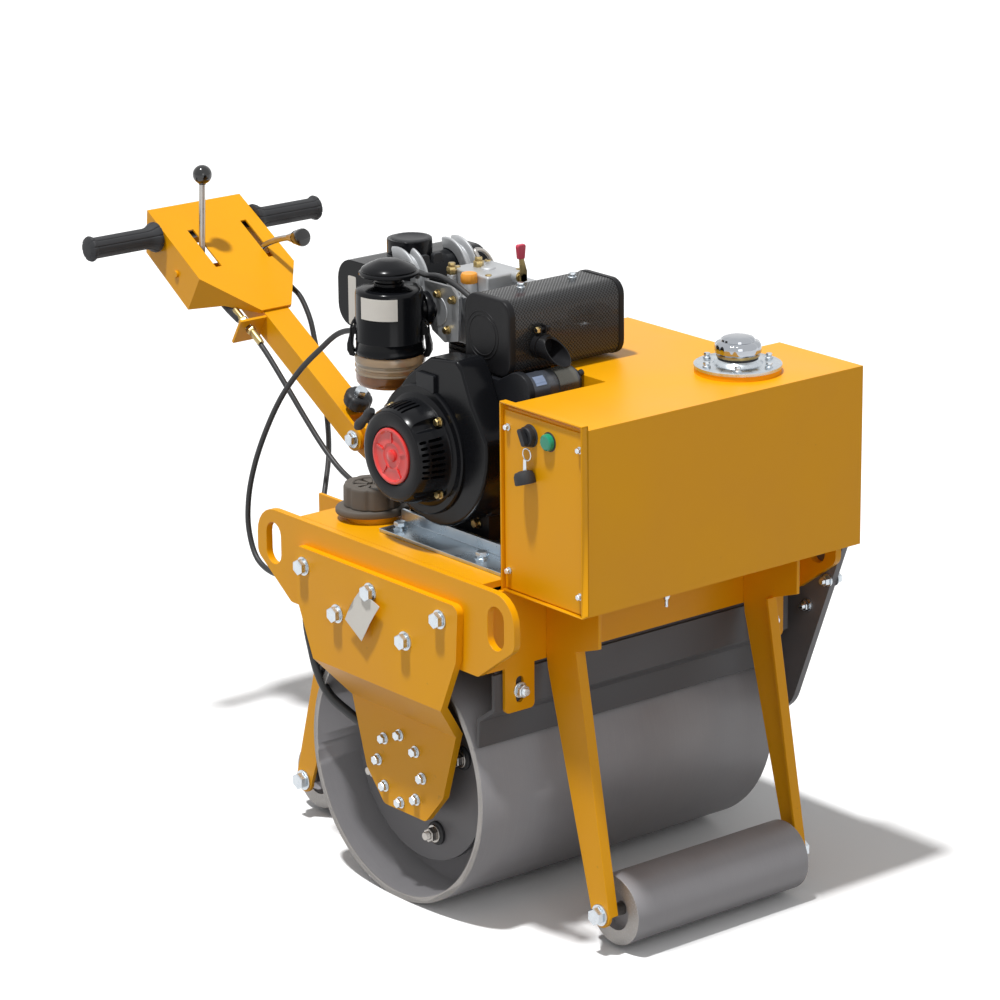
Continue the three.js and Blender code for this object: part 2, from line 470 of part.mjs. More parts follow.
// muffler, its outlet, and the electric starter
const mufflerLow = deckTop + muffler.rise, portZ = mufflerLow + muffler.portRise;
const mufflerOutline = rounded(rectangle(muffler.rear, muffler.front, mufflerLow,
  mufflerLow + muffler.height),
  muffler.corner);
const pipe = rod("x", muffler.pipeRadius, muffler.front - 2, muffler.front + muffler.pipeReach,
  muffler.pipeY, mufflerLow + muffler.pipeRise);
const pipeBore = rod("x", muffler.pipeRadius - muffler.pipeWall, muffler.front + 6,
  muffler.front + muffler.pipeReach + 20, muffler.pipeY, mufflerLow + muffler.pipeRise);
const flange = box(engine.headFront + seatGap, muffler.rear + 1, muffler.portY - muffler.port, muffler.portY
  + muffler.port, portZ - muffler.port, portZ + muffler.port);
add("muffler", cut(join(plateXZ(mufflerOutline, muffler.right, muffler.left), flange, pipe), pipeBore),
  black);
add("starter_motor", join(
  rod("y", starter.radius, engine.near + starter.plate + seatGap, starter.far, starter.x, starterZ),
  rod("y", starter.endRadius, starter.far - 1, starter.far + starter.endRun, starter.x, starterZ)),
    satinBlack);

// hydraulic oil filler on the deck
add("oil_filler_cap", join(rod("z", oilCap.brimRadius, ringTop + seatGap, ringTop + oilCap.brim, oilCap.x,
  oilCap.y, roundSides, oilCap.knobRadius + 2), rod("z", oilCap.knobRadius, ringTop + oilCap.brim - 1,
  ringTop + oilCap.brim + oilCap.knobRise, oilCap.x, oilCap.y, 8)), rubber);

// ---------- handle bracket on the frame ----------
function handleLug() {
  const base = rearCrossX - seatGap;
  const outline = [[base, deckLow - 2], [base, crossLow + 24],
    ...arcPoints(pivotX, pivotZ, pivot.lugRadius, Math.PI * 1.4, Math.PI * 0.45, 10)];
  const lug = plateXZ(outline, -pivot.lugHalf, pivot.lugHalf);
  const pad = box(base - 8, base, -pivot.lugHalf - 34, pivot.lugHalf + 34, crossLow + 16, deckLow - 2);
  return cut(join(lug, pad), rod("y", pivot.pin + 0.5, -60, 60, pivotX, pivotZ));
}
add("handle_lug", handleLug(), yellow);

// ---------- handle: local axes u out along the arm, v = -Y, w off its upper face ----------
const tilt = arm.angle * Math.PI / 180;
const handleFrame = new THREE.Matrix4().makeBasis(new THREE.Vector3(-Math.cos(tilt), 0, Math.sin(tilt)),
  new THREE.Vector3(0, -1, 0), new THREE.Vector3(Math.sin(tilt), 0, Math.cos(tilt)));
handleFrame.setPosition(pivotX, 0, pivotZ);
const place = (g) => g.applyMatrix4(handleFrame);
const handlePoint = (u, y, w) => new THREE.Vector3(u, -y, w).applyMatrix4(handleFrame).toArray();
const sideUW = (points, y0, y1, holes) => plateXZ(points, -y1, -y0, holes);

const cheekIn = pivot.lugHalf + pivot.cheekGap, cheekOut = cheekIn + pivot.cheek;
function armGeometry() {
  const d = arm.depth / 2, w = arm.width / 2;
  const tube = box(arm.start, arm.end, -w, w, -d, d);
  const cheek = (y0) => sideUW([...arcPoints(0, 0, d, Math.PI * 0.5, Math.PI * 1.5, 10),
    [arm.start + 26, -d], [arm.start + 26, d]], y0, y0 + pivot.cheek);
  const pinHole = rod("y", pivot.pin + 0.5, -60, 60, 0, 0);
  return cut(join(tube, cheek(cheekIn), cheek(-cheekOut)), pinHole);
}
function clipPlate() {
  const y1 = -arm.width / 2 + 1, y0 = y1 - clip.reach;
  const g = box(clip.u, clip.u + clip.thick, -y1, -y0, clip.low, clip.high);
  return cut(g, rod("x", cable.radius + 1, clip.u - 5, clip.u + 15, -clip.holeY, clip.holeW));
}
add("handle_arm", place(join(armGeometry(), clipPlate())), yellow);
add("handle_pin", place(rod("y", pivot.pin, -cheekOut - pivot.pinOver, cheekOut + pivot.pinOver, 0, 0)),
  zinc);

function consoleGeometry() {
  const c = consoleBox, s = c.sheet;
  const halfPlan = (k) => [[c.tip + k, c.tipHalf - k], [c.fold + k * 0.5, c.foldHalf - k], [c.rear - k,
    c.rearHalf - k]];
  const plan = (k) => [...halfPlan(k).map(([u, v]) => [u, -v]), ...halfPlan(k).reverse()];
  const outer = common(plateXY(plan(0), c.low - 8, c.top),
    sideUW([[c.tip, c.top], [c.tip, c.top - 7], [c.chinU, c.chinW], [c.fold, c.low - 3], [c.rearLow, c.low],
      [c.rear, c.top]], -150, 150));
  const inner = common(plateXY(plan(s), c.low - 20, c.top - s),
    sideUW([[c.tip - 9, c.top - s], [c.tip - 9, c.low - 19], [c.rearLow - s - 6, c.low - 19],
      [c.rear - s, c.top - s]], -150, 150));
  const half = arm.width / 2 + seatGap;
  const passage = box(arm.start, c.tip + 40, -half, half, c.low - 20, c.top - s - 0.01);
  const slot = (y) => box(c.slotFrom, c.slotTo, -y - c.slotWidth / 2, -y + c.slotWidth / 2, 0, c.top + 5);
  return cut(outer, inner, passage, slot(c.slotNear), slot(c.slotFar),
    rod("x", exit.radius, c.chinU, c.fold + 6, -exit.y, exit.w, 12),
    rod("y", bar.radius + seatGap, -150, 150, bar.u, bar.w),
    rod("y", lever.shaftRadius + seatGap, -150, 150, lever.shaftU, lever.shaftW));
}
add("console", place(consoleGeometry()), yellow);
add("handlebar", place(rod("y", bar.radius, -bar.end, bar.end, bar.u, bar.w)), satinBlack);
for (const [name, t] of [["right", 1], ["left", -1]]) {
  const g = turned([[bar.radius + seatGap, grip.start], [grip.flange, grip.start],
    [grip.flange, grip.start + grip.flangeThick], [grip.radius, grip.start + grip.flangeThick],
    [grip.radius, grip.end - grip.flangeThick], [grip.flange, grip.end - grip.flangeThick],
    [grip.flange, grip.end], [0, grip.end], [0, bar.end + seatGap], [bar.radius + seatGap, bar.end + seatGap],
    [bar.radius + seatGap, grip.start]], smallSides);
  add(`${name}_grip`, place(alongY(g, bar.u, bar.w, t < 0)), rubber);
}
const shaftEnd = consoleBox.foldHalf + 3;
add("lever_shaft", place(rod("y", lever.shaftRadius, -shaftEnd, shaftEnd, lever.shaftU, lever.shaftW)), zinc);
function leverGeometry(top, y, handle) {
  const from = new THREE.Vector3(lever.shaftU, -y, lever.shaftW), to = new THREE.Vector3(top[0], -y, top[1]);
  const dir = to.clone().sub(from), length = dir.length();
  const g = new THREE.CylinderGeometry(lever.rod, lever.rod, length - lever.hub + 4, 12);
  g.translate(0, (length + lever.hub - 4) / 2, 0);
  const turn = new THREE.Quaternion().setFromUnitVectors(new THREE.Vector3(0, 1, 0), dir.normalize());
  g.applyQuaternion(turn).translate(from.x, from.y, from.z);
  const boss = rod("y", lever.hub, -y - lever.hubHalf, -y + lever.hubHalf, lever.shaftU, lever.shaftW);
  handle.applyQuaternion(turn).translate(to.x, to.y, to.z);
  return cut(join(boss, g, handle), rod("y", lever.shaftRadius + seatGap, -200, 200, lever.shaftU,
    lever.shaftW));
}
const ball = new THREE.SphereGeometry(lever.nearBall, 20, 12);
const knob = turned([[0, -6], [lever.farKnobRadius * 0.55, -6], [lever.farKnobRadius, lever.farKnob - 8],
  [lever.farKnobRadius * 0.7, lever.farKnob], [0, lever.farKnob]], smallSides);
add("right_lever", place(leverGeometry(lever.nearTop, consoleBox.slotNear, ball)), zinc);
add("left_lever", place(leverGeometry(lever.farTop, consoleBox.slotFar, knob)), zinc);
const armFace = arm.depth / 2;
add("handle_lock_knob", place(join(rod("z", lock.radius, armFace + seatGap, armFace + lock.height, lock.u, 0),
  rod("z", lock.hex, armFace + lock.height - 1, armFace + lock.height + lock.hexRise, lock.u, 0, 6))),
    rubber);

// ---------- control cables ----------
const rearFace = rearCrossX - 2 * seatGap;
const rightRun = [handlePoint(consoleBox.fold + 14, clip.holeY, -8), handlePoint(360, clip.holeY, -9),
  handlePoint(318, clip.holeY, -5), handlePoint(clip.u + 2, clip.holeY, clip.holeW),
  handlePoint(clip.u - 22, clip.holeY, -1), [-652, -56, 706], [-590, -54, 650], [-548, -52, 610], [-500,
    -52, 572],
  [-450, -54, 545], [-380, -58, 528], [-300, -62, 520], [rearFace - 14, -62, 518], [rearFace, -62, 518]];
add("right_control_cable", cord(rightRun, cable.radius, 60), rubber);
const leftRun = [handlePoint(consoleBox.fold + 18, exit.y - 4, exit.w), handlePoint(consoleBox.fold, exit.y,
  exit.w),
  handlePoint(consoleBox.chinU + 18, exit.y + 2, exit.w - 1), [-751, 88, 762], [-719, 84, 730], [-698, 78,
    696],
  [-660, 64, 636], [-624, 45, 586], [-592, 24, 552], [-562, 0, 528], [-535, -26, 503], [-506, -56, 466],
  [-466, -86, 442], [-410, -106, 434], [-340, -112, 442], [-270, -112, 456], [rearFace - 14, -112, 460],
  [rearFace, -112, 460]];
add("left_control_cable", cord(leftRun, cable.radius, 70), rubber);
const throttleRun = [[engine.rear - 2 * seatGap, -120, 770], [engine.rear - 14, -120, 770], [-124, -124, 786],
  [-190, -138, 820], [-262, -150, 836], [-312, -156, 826], [-356, -166, 790], [-396, -176, 750], [-430,
    -188, 702], [-462, -198, 640], [-486, -206, 576],
  [-496, -212, 520], [-492, -216, 470], [-462, -222, 428], [-404, -226, 416], [-330, -226, 440], [-268,
    -226, 470],
  [rearFace - 14, -226, 480], [rearFace, -226, 480]];
add("throttle_cable", cord(throttleRun, cable.radius, 80), rubber);

// ---------- the part's frame: origin on the ground under the middle of its footprint ----------
root.updateMatrixWorld(true);
const bounds = new THREE.Box3().setFromObject(root);
const shift = [-(bounds.min.x + bounds.max.x) / 2, -(bounds.min.y + bounds.max.y) / 2, -bounds.min.z];
for (const mesh of root.children) mesh.geometry.translate(...shift);

export default root;
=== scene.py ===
# %% [markdown]
# # A walk-behind road roller
# A pedestrian roller is a steel drum under a welded frame, with a small diesel engine on the
# deck, a water tank in front of it and a steering handle behind. The solids of the frame, the
# drum and the castings are already modelled, so this lesson does two things: it gives each solid
# the finish of the real part, and it models the pieces that need finer work than a solid has,
# such as the starter cover, the air cleaner, the levers, the cables and all the bolts.

# %% Load the solid model
import math
import bmesh
import bpy
from mathutils import Matrix, Vector


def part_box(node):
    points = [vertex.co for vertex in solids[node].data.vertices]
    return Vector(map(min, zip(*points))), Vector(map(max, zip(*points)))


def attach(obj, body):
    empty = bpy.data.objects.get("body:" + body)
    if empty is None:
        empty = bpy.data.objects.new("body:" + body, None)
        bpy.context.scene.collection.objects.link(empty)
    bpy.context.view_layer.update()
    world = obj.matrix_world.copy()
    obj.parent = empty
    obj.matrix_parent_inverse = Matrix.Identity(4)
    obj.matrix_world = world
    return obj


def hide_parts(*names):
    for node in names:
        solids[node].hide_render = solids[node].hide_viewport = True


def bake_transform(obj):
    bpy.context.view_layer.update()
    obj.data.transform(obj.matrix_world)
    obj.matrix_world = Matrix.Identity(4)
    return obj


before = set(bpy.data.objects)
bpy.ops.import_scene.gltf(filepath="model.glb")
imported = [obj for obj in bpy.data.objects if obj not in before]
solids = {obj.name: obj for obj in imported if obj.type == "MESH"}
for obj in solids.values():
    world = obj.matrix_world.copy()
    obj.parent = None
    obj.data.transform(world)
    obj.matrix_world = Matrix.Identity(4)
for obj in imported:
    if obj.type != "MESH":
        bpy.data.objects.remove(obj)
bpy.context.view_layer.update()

# %% [markdown]
# ## Where things are
# Everything is placed from the drum, because the machine is laid out round its axle. One
# function turns millimetres from the axle into a point, and a second one does the same along
# the handle, which rises at 31 degrees from its hinge. Absolute coordinates would work too,
# but they would hide the sizes that a fitter would measure.

# %% Points from the drum's middle and along the handle
MM = 0.001
X, Y, Z = Vector((1, 0, 0)), Vector((0, 1, 0)), Vector((0, 0, 1))
drum_low, drum_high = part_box("drum")
AXLE = (drum_low + drum_high) / 2
HINGE_X, HINGE_HEIGHT = -458, 594
HANDLE_RISE = math.radians(31)
UP_HANDLE = Vector((-math.cos(HANDLE_RISE), 0, math.sin(HANDLE_RISE)))
OFF_HANDLE = Vector((math.sin(HANDLE_RISE), 0, math.cos(HANDLE_RISE)))


def at(x, y, z):
    """Millimetres: x forward and y left from the drum's middle, z up from the ground."""
    return Vector((AXLE.x + x * MM, AXLE.y + y * MM, z * MM))


def handle(u, y, w):
    """Millimetres: u up the handle from its hinge, y left, w square to the handle."""
    return at(HINGE_X, y, HINGE_HEIGHT) + (UP_HANDLE * u + OFF_HANDLE * w) * MM


def shift(point, x, y, z):
    """A point moved by some millimetres forward, left and up."""
    return point + (X * x + Y * y + Z * z) * MM


def ray(first, second, angle):
    """A direction at an angle from the first direction toward the second."""
    return first * math.cos(angle) + second * math.sin(angle)


print("axle:", [round(v, 4) for v in AXLE], "grip:", [round(v, 3) for v in handle(522, -180, 6)])

# %% [markdown]
# ## Small tools for shaping
# Most parts of a machine are turned, bent from bar or cut from plate. So three helpers do most
# of the work: one turns a profile as a lathe does, one sweeps a round section along a path as
# a tube bender does, and one gives an outline its thickness as a plate has. They add to a
# bmesh, which lets one piece be built from many bodies before it becomes an object.

# %% Turn, sweep, and plate
def across(axis):
    """Two directions square to an axis: the first is up, or forward where the axis is upright."""
    nearly_upright = 0.9
    first = Z if abs(axis.z) < nearly_upright else X
    first = (first - axis * first.dot(axis)).normalized()
    return first, axis.cross(first)


def skin(bm, rings, closed=False):
    """Joins rings of points into a surface. A ring of one point is a tip."""
    loops = [[bm.verts.new(p) for p in ring] for ring in rings]
    for a, b in list(zip(loops, loops[1:])) + ([(loops[-1], loops[0])] if closed else []):
        count = max(len(a), len(b))
        for i in range(count):
            j = (i + 1) % count
            corners = [a[i % len(a)], a[j % len(a)], b[j % len(b)], b[i % len(b)]]
            corners = list(dict.fromkeys(corners))
            if len(corners) > 2:
                bm.faces.new(corners)
    if not closed:
        for loop in (loops[0], loops[-1]):
            if len(loop) > 2:
                bm.faces.new(loop)


def turn(bm, profile, origin, axis, steps=48, closed=False, lobe=None):
    """Turns (radius, height) millimetres about an axis. lobe(angle) scales the radius."""
    axis = axis.normalized()
    first, second = across(axis)
    rings = []
    for radius, height in profile:
        ring = []
        for i in range(steps if radius else 1):
            angle = math.tau * i / steps
            reach = radius * (lobe(angle) if lobe else 1) * MM
            ring.append(origin + axis * height * MM + ray(first, second, angle) * reach)
        rings.append(ring)
    skin(bm, rings, closed)


def sweep(bm, path, radius, steps=14):
    """Sweeps a round section along points. radius in mm: one number, or one for each point."""
    side, rings = None, []
    for i, p in enumerate(path):
        ahead = (path[min(i + 1, len(path) - 1)] - path[max(i - 1, 0)]).normalized()
        side = across(ahead)[0] if side is None else (side - ahead * side.dot(ahead)).normalized()
        other = ahead.cross(side)
        reach = (radius if isinstance(radius, (int, float)) else radius[i]) * MM
        rings.append([p + ray(side, other, math.tau * k / steps) * reach for k in range(steps)])
    skin(bm, rings)


def plate(bm, outline, origin, u, v, depth):
    """Gives an outline of (u, v) millimetres a depth along u x v."""
    n = u.cross(v) * depth * MM
    near = [origin + (u * a + v * b) * MM for a, b in outline]
    skin(bm, [near, [p + n for p in near]])


# %% Outlines and smooth paths
def rounded(width, height, radius, steps=5):
    """A rectangle about its middle, with round corners."""
    points = []
    for k, (sx, sy) in enumerate(((1, 1), (-1, 1), (-1, -1), (1, -1))):
        for i in range(steps + 1):
            t = math.pi / 2 * (k + i / steps)
            points.append((sx * (width / 2 - radius) + radius * math.cos(t),
                           sy * (height / 2 - radius) + radius * math.sin(t)))
    return points


def smooth(points, between=10):
    """A curve through points, with even bends, as a cable takes (centripetal Catmull-Rom)."""
    ends = [points[0] * 2 - points[1]] + list(points) + [points[-1] * 2 - points[-2]]
    path = []
    for p0, p1, p2, p3 in zip(ends, ends[1:], ends[2:], ends[3:]):
        t0, t1 = 0.0, (p1 - p0).length ** 0.5
        t2 = t1 + (p2 - p1).length ** 0.5
        t3 = t2 + (p3 - p2).length ** 0.5
        for i in range(between):
            t = t1 + (t2 - t1) * i / between
            a1 = p0 * ((t1 - t) / (t1 - t0)) + p1 * ((t - t0) / (t1 - t0))
            a2 = p1 * ((t2 - t) / (t2 - t1)) + p2 * ((t - t1) / (t2 - t1))
            a3 = p2 * ((t3 - t) / (t3 - t2)) + p3 * ((t - t2) / (t3 - t2))
            b1 = a1 * ((t2 - t) / (t2 - t0)) + a2 * ((t - t0) / (t2 - t0))
            b2 = a2 * ((t3 - t) / (t3 - t1)) + a3 * ((t - t1) / (t3 - t1))
            path.append(b1 * ((t2 - t) / (t2 - t1)) + b2 * ((t - t1) / (t2 - t1)))
    return path + [points[-1]]


# %% From a bmesh to a finished piece
SHARP = 35  # degrees: edges that turn more than this stay crisp


def place_object(name, data):
    """Puts a new object that holds some data in the scene."""
    new = bpy.data.objects.new(name, data)
    bpy.context.scene.collection.objects.link(new)
    return new


def mesh_object(name, bm):
    """Puts a bmesh in the scene as an object, and frees the bmesh."""
    mesh = bpy.data.meshes.new(name)
    bm.to_mesh(mesh)
    bm.free()
    return place_object(name, mesh)


def shade_smooth(mesh):
    """Lets the light run over every face, so only sharp edges show."""
    mesh.polygons.foreach_set("use_smooth", [True] * len(mesh.polygons))


def soften(piece, bevel, angle):
    """Rounds the sharp edges by a real radius in millimetres, and keeps flat faces flat."""
    if bevel:
        edge = piece.modifiers.new("edge radius", "BEVEL")
        edge.width, edge.segments, edge.limit_method = bevel * MM, 2, "ANGLE"
        edge.angle_limit = math.radians(angle)
        edge.use_clamp_overlap = True
        piece.modifiers.new("flat faces", "WEIGHTED_NORMAL")
    else:
        piece.data.set_sharp_from_angle(angle=math.radians(angle))


def make(name, bm, body, material, slot, bevel=0.0, stands_for=(), angle=SHARP):
    """Turns a bmesh into an object that rides a body, with its finish."""
    same_point = 1e-6
    bmesh.ops.remove_doubles(bm, verts=bm.verts, dist=same_point)
    bmesh.ops.recalc_face_normals(bm, faces=bm.faces)
    piece = mesh_object(name, bm)
    shade_smooth(piece.data)
    piece.data.materials.append(material)
    soften(piece, bevel, angle)
    if body:
        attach(piece, body)
    if stands_for:
        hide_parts(*stands_for)
    print(name, len(piece.data.polygons), "faces")
    return piece


def lathe(name, profile, origin, axis, steps, *finish_and_body, closed=False, lobe=None, **more):
    """A piece that is one turned profile. The rest of what make() needs is passed on."""
    bm = bmesh.new()
    turn(bm, profile, origin, axis, steps, closed, lobe)
    return make(name, bm, *finish_and_body, **more)


# %% [markdown]
# ## Finishes
# A road roller has few finishes, and each has its own gloss and grain: thick yellow enamel on
# the weldments, worn grey paint on the drum, gloss and satin black on the engine, cast
# aluminium, zinc plate, rubber and moulded plastic. Each is a small node tree: a broad drift of
# colour and gloss, and a fine grain that is bumped as deep as the real texture.
# Painted images could do the same, but a pattern made by nodes stays sharp at any distance.

# %% Colour and node helpers
FACTOR, UNDER, OVER, MIXED = 0, 6, 7, 2  # the sockets of a Mix node that is set to colour


def linear(hex_colour):
    """An sRGB hex value as linear red, green, blue and alpha."""
    parts = [int(hex_colour[i:i + 2], 16) / 255 for i in (1, 3, 5)]
    return [c / 12.92 if c <= 0.04045 else ((c + 0.055) / 1.055) ** 2.4 for c in parts] + [1.0]


def node(material, kind, inputs=None, **settings):
    """Adds a node with its settings. An input is a value, or a socket to link from."""
    new = material.node_tree.nodes.new(kind)
    for key, value in settings.items():
        setattr(new, key, value)
    for key, value in (inputs or {}).items():
        if isinstance(value, bpy.types.NodeSocket):
            material.node_tree.links.new(value, new.inputs[key])
        else:
            new.inputs[key].default_value = value
    return new


def shader_of(material):
    """The shader that every finish ends in."""
    return material.node_tree.nodes["Principled BSDF"]


def place_of(material):
    """The object coordinates that all patterns of a finish are laid out in."""
    return material.node_tree.nodes["place"].outputs["Object"]


def feed(material, **sources):
    """Links sockets to the shader's inputs. An underscore stands for a space."""
    for key, source in sources.items():
        material.node_tree.links.new(source, shader_of(material).inputs[key.replace("_", " ")])


def tint(material, amount, hex_colour):
    """Mixes one more colour over the base colour, where the amount is high."""
    under = shader_of(material).inputs["Base Color"].links[0].from_socket
    mix = node(material, "ShaderNodeMix", {FACTOR: amount, UNDER: under,
                                           OVER: linear(hex_colour)}, data_type="RGBA")
    feed(material, Base_Color=mix.outputs[MIXED])


# %% A finish with drift, grain and bump
NOISE_LOW, NOISE_HIGH = 0.3, 0.7  # nearly all of a noise lies between these


def finish(name, low, high, patch, grain, depth, rough, metal=0.0, **sockets):
    """Colour and roughness drift together over patches, and a finer grain is bumped.

    The patches, the grain and the depth of the bump are in millimetres."""
    material = bpy.data.materials.new(name)
    material.use_nodes = True
    shader = shader_of(material)
    shader.inputs["Metallic"].default_value = metal
    for key, value in sockets.items():
        shader.inputs[key.replace("_", " ")].default_value = value
    place = node(material, "ShaderNodeTexCoord", name="place").outputs["Object"]
    broad = node(material, "ShaderNodeTexNoise",
                 {"Vector": place, "Scale": 1 / (patch * MM), "Detail": 4.0})
    drift = node(material, "ShaderNodeMix", {FACTOR: broad.outputs["Fac"], UNDER: linear(low),
                                             OVER: linear(high)}, data_type="RGBA")
    fine = node(material, "ShaderNodeTexNoise",
                {"Vector": place, "Scale": 1 / (grain * MM), "Detail": 2.0})
    gloss = node(material, "ShaderNodeMapRange", {"Value": broad.outputs["Fac"],
                 "From Min": NOISE_LOW, "From Max": NOISE_HIGH,
                 "To Min": rough[0], "To Max": rough[1]})
    bump = node(material, "ShaderNodeBump", {"Height": fine.outputs["Fac"],
                "Strength": 1.0, "Distance": depth * MM})
    feed(material, Base_Color=drift.outputs[MIXED], Roughness=gloss.outputs["Result"],
         Normal=bump.outputs["Normal"])
    return material


def report(material):
    """Prints how large a finish has become."""
    print(material.name, len(material.node_tree.nodes), "nodes")


# %% [markdown]
# ### Yellow enamel
# The frame is steel, sprayed with thick two-pack enamel. Spray leaves a faint orange peel of
# about 2 mm, and road dust settles low down and in patches, which hides the yellow. A low
# specular level and a middling roughness give the broad, soft sheen of paint that has been
# outdoors. A clear coat would give sharp reflections, as on a car, so none is used.

# %% Yellow enamel
DUST_PER_METRE = 55.0  # patches about 18 mm across
DUST_HEIGHT = 0.55  # metres: dust grows rarer up to here
yellow = finish("yellow enamel", "#E89E00", "#F4AD00", 220, 2.4, 0.010, (0.34, 0.46),
                Specular_IOR_Level=0.28)
dust = node(yellow, "ShaderNodeTexNoise", {"Vector": place_of(yellow), "Scale": DUST_PER_METRE,
                                           "Detail": 8.0, "Roughness": 0.7})
height = node(yellow, "ShaderNodeSeparateXYZ", {"Vector": place_of(yellow)})
low_down = node(yellow, "ShaderNodeMapRange", {"Value": height.outputs["Z"], "From Min": 0.0,
                "From Max": DUST_HEIGHT, "To Min": 0.62, "To Max": 0.70})
specks = node(yellow, "ShaderNodeMath", {0: dust.outputs["Fac"],
              1: low_down.outputs["Result"]}, operation="GREATER_THAN")
thin_dust = node(yellow, "ShaderNodeMath", {0: specks.outputs[0], 1: 0.35},
                 operation="MULTIPLY")
tint(yellow, thin_dust.outputs[0], "#C08A1E")
report(yellow)

# %% [markdown]
# ### Drum paint
# The drum and the support rollers are rolled steel tube in grey primer. Rolling rubs fine
# lines round the shell and wears the paint off the rims down to bright steel. The lines need
# coordinates that follow the turn: the angle round the axle, the place along it, and the radius.

# %% Drum paint with wear round the shell
LONG_PER_METRE = 8  # lines run on for about 125 mm round the shell
FINE_PER_METRE = 420.0  # lines and chips are about 2.4 mm across
RIM_FROM, RIM_TO = 0.0012, 0.0002  # metres inside the rim: bare steel begins, and is complete
CHIP_DEPTH = 0.006  # metres: how far chips move that edge


def rolled_paint(name, centre, radius, half_width):
    """Grey paint with lines round an axle, and rims worn to steel."""
    material = finish(name, "#8C8A8D", "#9C9A9D", 60, 1.6, 0.03, (0.42, 0.54))
    place = place_of(material)
    local = node(material, "ShaderNodeVectorMath", {0: place, 1: centre}, operation="SUBTRACT")
    part = node(material, "ShaderNodeSeparateXYZ", {"Vector": local.outputs[0]})
    angle = node(material, "ShaderNodeMath", {0: part.outputs["Z"], 1: part.outputs["X"]},
                 operation="ARCTAN2")
    run = node(material, "ShaderNodeMath", {0: angle.outputs[0], 1: radius * LONG_PER_METRE},
               operation="MULTIPLY")
    along = node(material, "ShaderNodeMath", {0: part.outputs["Y"], 1: FINE_PER_METRE},
                 operation="MULTIPLY")
    wrapped = node(material, "ShaderNodeCombineXYZ", {"X": run.outputs[0],
                                                      "Y": along.outputs[0]})
    lines = node(material, "ShaderNodeTexNoise", {"Vector": wrapped.outputs[0], "Scale": 1.0,
                                                  "Detail": 5.0, "Roughness": 0.65})
    scuff = node(material, "ShaderNodeMapRange", {"Value": lines.outputs["Fac"],
                 "From Min": 0.50, "From Max": 0.85, "To Min": 0.0, "To Max": 0.22})
    tint(material, scuff.outputs["Result"], "#B0AEAF")
    reach = node(material, "ShaderNodeMath", {0: part.outputs["Y"]}, operation="ABSOLUTE")
    chips = node(material, "ShaderNodeTexNoise", {"Vector": place, "Scale": FINE_PER_METRE,
                                                  "Detail": 4.0, "Roughness": 0.6})
    edge = node(material, "ShaderNodeMath", {0: chips.outputs["Fac"], 1: CHIP_DEPTH,
                2: -CHIP_DEPTH / 2}, operation="MULTIPLY_ADD")
    worn_reach = node(material, "ShaderNodeMath", {0: reach.outputs[0], 1: edge.outputs[0]},
                      operation="ADD")
    bare = node(material, "ShaderNodeMapRange", {"Value": worn_reach.outputs[0],
                "From Min": half_width - RIM_FROM, "From Max": half_width - RIM_TO})
    tint(material, bare.outputs["Result"], "#93908D")
    feed(material, Metallic=bare.outputs["Result"])
    report(material)
    return material


rolled = {}
for solid in ("drum", "front_support_roller", "rear_support_roller"):
    low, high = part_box(solid)
    half = (high - low) / 2
    rolled[solid] = rolled_paint(solid.replace("_", " ") + " paint", (low + high) / 2,
                                 half.z, half.y)

# %% [markdown]
# ### The other paints and metals
# Castings keep the grain of the sand they were poured in, pressed sheet is smooth, and zinc
# plate has a soft satin shine with a cold or a yellow tint. The differences are mostly in
# roughness and in the size of the grain, so one line each is enough. The numbers are the
# drift's patches, the grain and the bump's depth in millimetres, and the range of roughness.

# %% Paints
carrier_paint = finish("dark grey satin paint", "#646366", "#727174", 90, 1.8, 0.03,
                       (0.45, 0.6))
# The scrapers get a darker copy of the carriers' grey: the darkness is painted shade, for parts
# that sit in shade under the frame.
shade_darkened_scraper_paint = finish("scraper grey darkened as painted shade", "#4A494B", "#575658", 90, 1.8, 0.03,
                       (0.45, 0.6), Specular_IOR_Level=0.35)
gloss_black = finish("gloss black enamel on pressed steel", "#0F1013", "#16171A", 120, 2.2,
                     0.008, (0.16, 0.26), Specular_IOR_Level=0.14)
cast_black = finish("black enamel on sand casting", "#17181B", "#222327", 60, 1.3, 0.10,
                    (0.30, 0.46), Specular_IOR_Level=0.18)
satin_black = finish("satin black paint on steel", "#161618", "#202022", 80, 1.5, 0.02,
                     (0.34, 0.48), Specular_IOR_Level=0.15)
motor_enamel = finish("blue-grey motor enamel", "#3A3E46", "#464A52", 30, 0.8, 0.01,
                      (0.26, 0.36))

# %% Bare and plated metals
phosphated = finish("phosphated steel", "#5C5B54", "#6C6B64", 30, 0.8, 0.01, (0.24, 0.34),
                    metal=0.6)
cast_alloy = finish("bead-blasted cast aluminium", "#A6A8AA", "#C2C4C6", 35, 0.9, 0.08,
                    (0.36, 0.54), metal=0.6)
zinc = finish("bright zinc plate", "#B4BCC4", "#D2D8DC", 9, 0.8, 0.01, (0.22, 0.40), metal=1.0)
zinc_sheet = finish("blue zinc plate on sheet", "#AAB6C0", "#C2CCD4", 30, 1.0, 0.006,
                    (0.24, 0.36), metal=0.9)
yellow_zinc = finish("yellow zinc plate", "#9A8758", "#BBA677", 7, 0.8, 0.01, (0.28, 0.42),
                     metal=1.0)
# The chrome's base is set darker than bright chrome: a painted reflection of darker surroundings.
chrome = finish("chrome plate", "#A4A8AE", "#B4B8BE", 40, 3.0, 0.002, (0.05, 0.10), metal=1.0)
steel = finish("turned steel rod", "#9A9794", "#BAB7B2", 12, 0.5, 0.01, (0.26, 0.40), metal=1.0)

